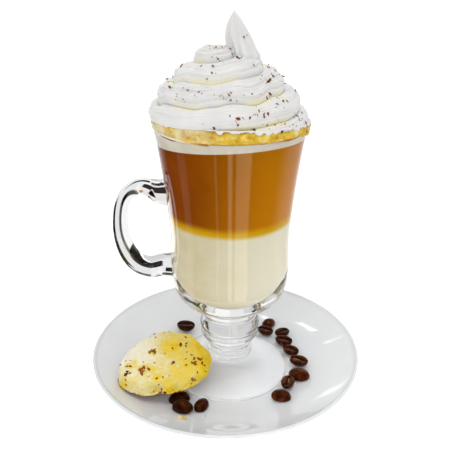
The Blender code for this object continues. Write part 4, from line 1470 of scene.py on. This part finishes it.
def card_stops(cards, mirrored):
    """The cards as stops of a ramp round the ring. Mirrored ones near the front are warm."""
    stops = []
    for start, end, glow in cards:
        for degrees in (start, end):
            warmth = WARM_CARD if mirrored and abs(degrees) < WARM_WITHIN else PLAIN_CARD
            stops.append((0.5 + degrees / 360, [glow / SURROUND_GLOW * part for part in warmth]))
    return stops


def add_panes(tree, axes, angle, glow):
    """The mirrored ring's glow with its even upper edge and its window panes."""
    upper = add_range(tree, axes["Z"], SURROUND_HEIGHT - 40 * MM, SURROUND_HEIGHT - 5 * MM)
    glow = add_mix(tree, upper, glow, grey(TOP_GLOW))
    for turn, level, breadth, tall, lean, bright in PANES:
        up = add_math(tree, "SUBTRACT", axes["Z"], level * MM)
        leant = add_math(tree, "MULTIPLY_ADD", up, -math.radians(lean) / MM, angle)
        aside = add_math(tree, "ABSOLUTE", add_math(tree, "SUBTRACT", leant, math.radians(turn)))
        outer = math.radians(breadth + PANE_BLUR)
        within = add_range(tree, aside, outer, math.radians(breadth - PANE_BLUR))
        inside = add_range(tree, add_math(tree, "ABSOLUTE", up), (tall + 1) * MM, (tall - 1) * MM)
        glow = add_mix(tree, add_math(tree, "MULTIPLY", within, inside), glow, grey(bright))
    return glow


def add_openings(tree, axes, glow):
    """The glow of the ring seen through the glass, dark low on the handle's side and open in front."""
    low = add_range(tree, axes["Z"], FLOOR_CARD_HEIGHT + 2 * MM, FLOOR_CARD_HEIGHT)
    aside = add_range(tree, axes["X"], FLOOR_CARD_EDGE, FLOOR_CARD_EDGE - 6 * MM)
    glow = add_mix(tree, add_math(tree, "MULTIPLY", low, aside), glow, (0.0, 0.0, 0.0))
    bounced = add_node(tree, "ShaderNodeLightPath").outputs["Glossy Depth"]
    straight = add_range(tree, bounced, 0.6, 0.4)
    front = add_math(tree, "MULTIPLY", straight, add_range(tree, axes["Y"], *OPEN_FORWARD))
    beside = add_range(tree, add_math(tree, "ABSOLUTE", axes["X"]), *OPEN_ASIDE)
    return add_mix(tree, add_math(tree, "MULTIPLY", front, beside), glow, grey(OPEN_GLOW))


def ring_material(name, cards, mirrored):
    """The glow of the cards. Light that has been scattered once finds one soft glow instead."""
    made, tree, shader = new_material(name)
    values = {"Vector": object_place(tree), "Location": (-GLASS_X, -GLASS_Y, 0)}
    place = add_node(tree, "ShaderNodeMapping", values).outputs["Vector"]
    axes = add_node(tree, "ShaderNodeSeparateXYZ", {"Vector": place}).outputs
    angle = add_math(tree, "ARCTAN2", axes["X"], add_math(tree, "MULTIPLY", axes["Y"], -1.0))
    share = add_math(tree, "MULTIPLY_ADD", angle, 1 / math.tau, 0.5)
    glow = add_ramp(tree, share, card_stops(cards, mirrored))
    glow = add_panes(tree, axes, angle, glow) if mirrored else add_openings(tree, axes, glow)
    scattered = add_node(tree, "ShaderNodeLightPath").outputs["Diffuse Depth"]
    soft = add_range(tree, scattered, 0.0, 1.0)
    tree.links.new(add_mix(tree, soft, glow, grey(SOFT_GLOW)), shader.inputs["Emission Color"])
    set_glowing(shader, SURROUND_GLOW)
    return made


def make_surround(name, cards, mirrored):
    """A low ring of dark and light cards, which shows only mirrored or only through the glass."""
    mesh = ring_mesh(name)
    mesh.materials.append(ring_material(name, cards, mirrored))
    ring = card_object(name, mesh, mirrored, not mirrored)


def make_handle_cards(name, places, glow):
    """Upright cards behind the glass, seen only through the bends and the outer edge of the handle."""
    bm = bmesh.new()
    for left, right, low, top in places:
        card = bmesh.ops.create_grid(bm, x_segments=1, y_segments=1, size=0.5)["verts"]
        bmesh.ops.rotate(bm, verts=card, cent=(0, 0, 0), matrix=Matrix.Rotation(math.pi / 2, 3, "X"))
        bmesh.ops.scale(bm, vec=((right - left) * MM, 1.0, (top - low) * MM), verts=card)
        middle = ((right + left) / 2 * MM, HANDLE_CARDS_BACK, (top + low) / 2 * MM)
        bmesh.ops.translate(bm, vec=middle, verts=card)
    mesh = mesh_from(bm, name)
    made, _, shader = new_material(name)
    set_plain(shader, Emission_Color=(*glow, 1.0))
    set_glowing(shader, 1.0)
    mesh.materials.append(made)
    cards = card_object(name, mesh, False, True)


def make_stage():
    make_floor()
    make_handle_cards("dark_cards", HANDLE_CARDS, (0.0, 0.0, 0.0))
    make_handle_cards("warm_cards", WARM_HANDLE_CARDS, WARM_HANDLE_GLOW)
    make_surround("mirrored_cards", MIRRORED_CARDS, True)
    make_surround("cards_behind", SEEN_CARDS, False)
    make_camera()
    make_room()
    for lamp in LAMPS:
        make_lamp(*lamp)
    scene = bpy.context.scene
    scene.view_settings.view_transform = "Standard"
    scene.cycles.use_denoising = True
    scene.cycles.max_bounces = BOUNCES
    scene.cycles.transmission_bounces = BOUNCES


def main():
    make_saucer(porcelain_material())
    make_glass(
        glass_material("thin clear glass", 1.22, 0.5),
        glass_material("thick clear glass", 1.5, 0.0),
        glass_material("faint clear glass", 1.12, 0.3, 0.965),
    )
    make_drink(milk_material(), coffee_material(), foam_material())
    make_froth(froth_material())
    white = cream_material()
    make_melt(white)
    cream = make_cream(white)
    shaved = chocolate_material("shaved chocolate", (0.085, 0.024, 0.005), (0.27, 0.095, 0.018))
    make_flakes(cream, shaved)
    chip = chocolate_material("chocolate chip", (0.10, 0.026, 0.004), (0.40, 0.13, 0.016))
    make_cookie(crust_material(), chip)
    make_beans(bean_material())
    make_crumbs(crumb_material())
    make_stage()


main()
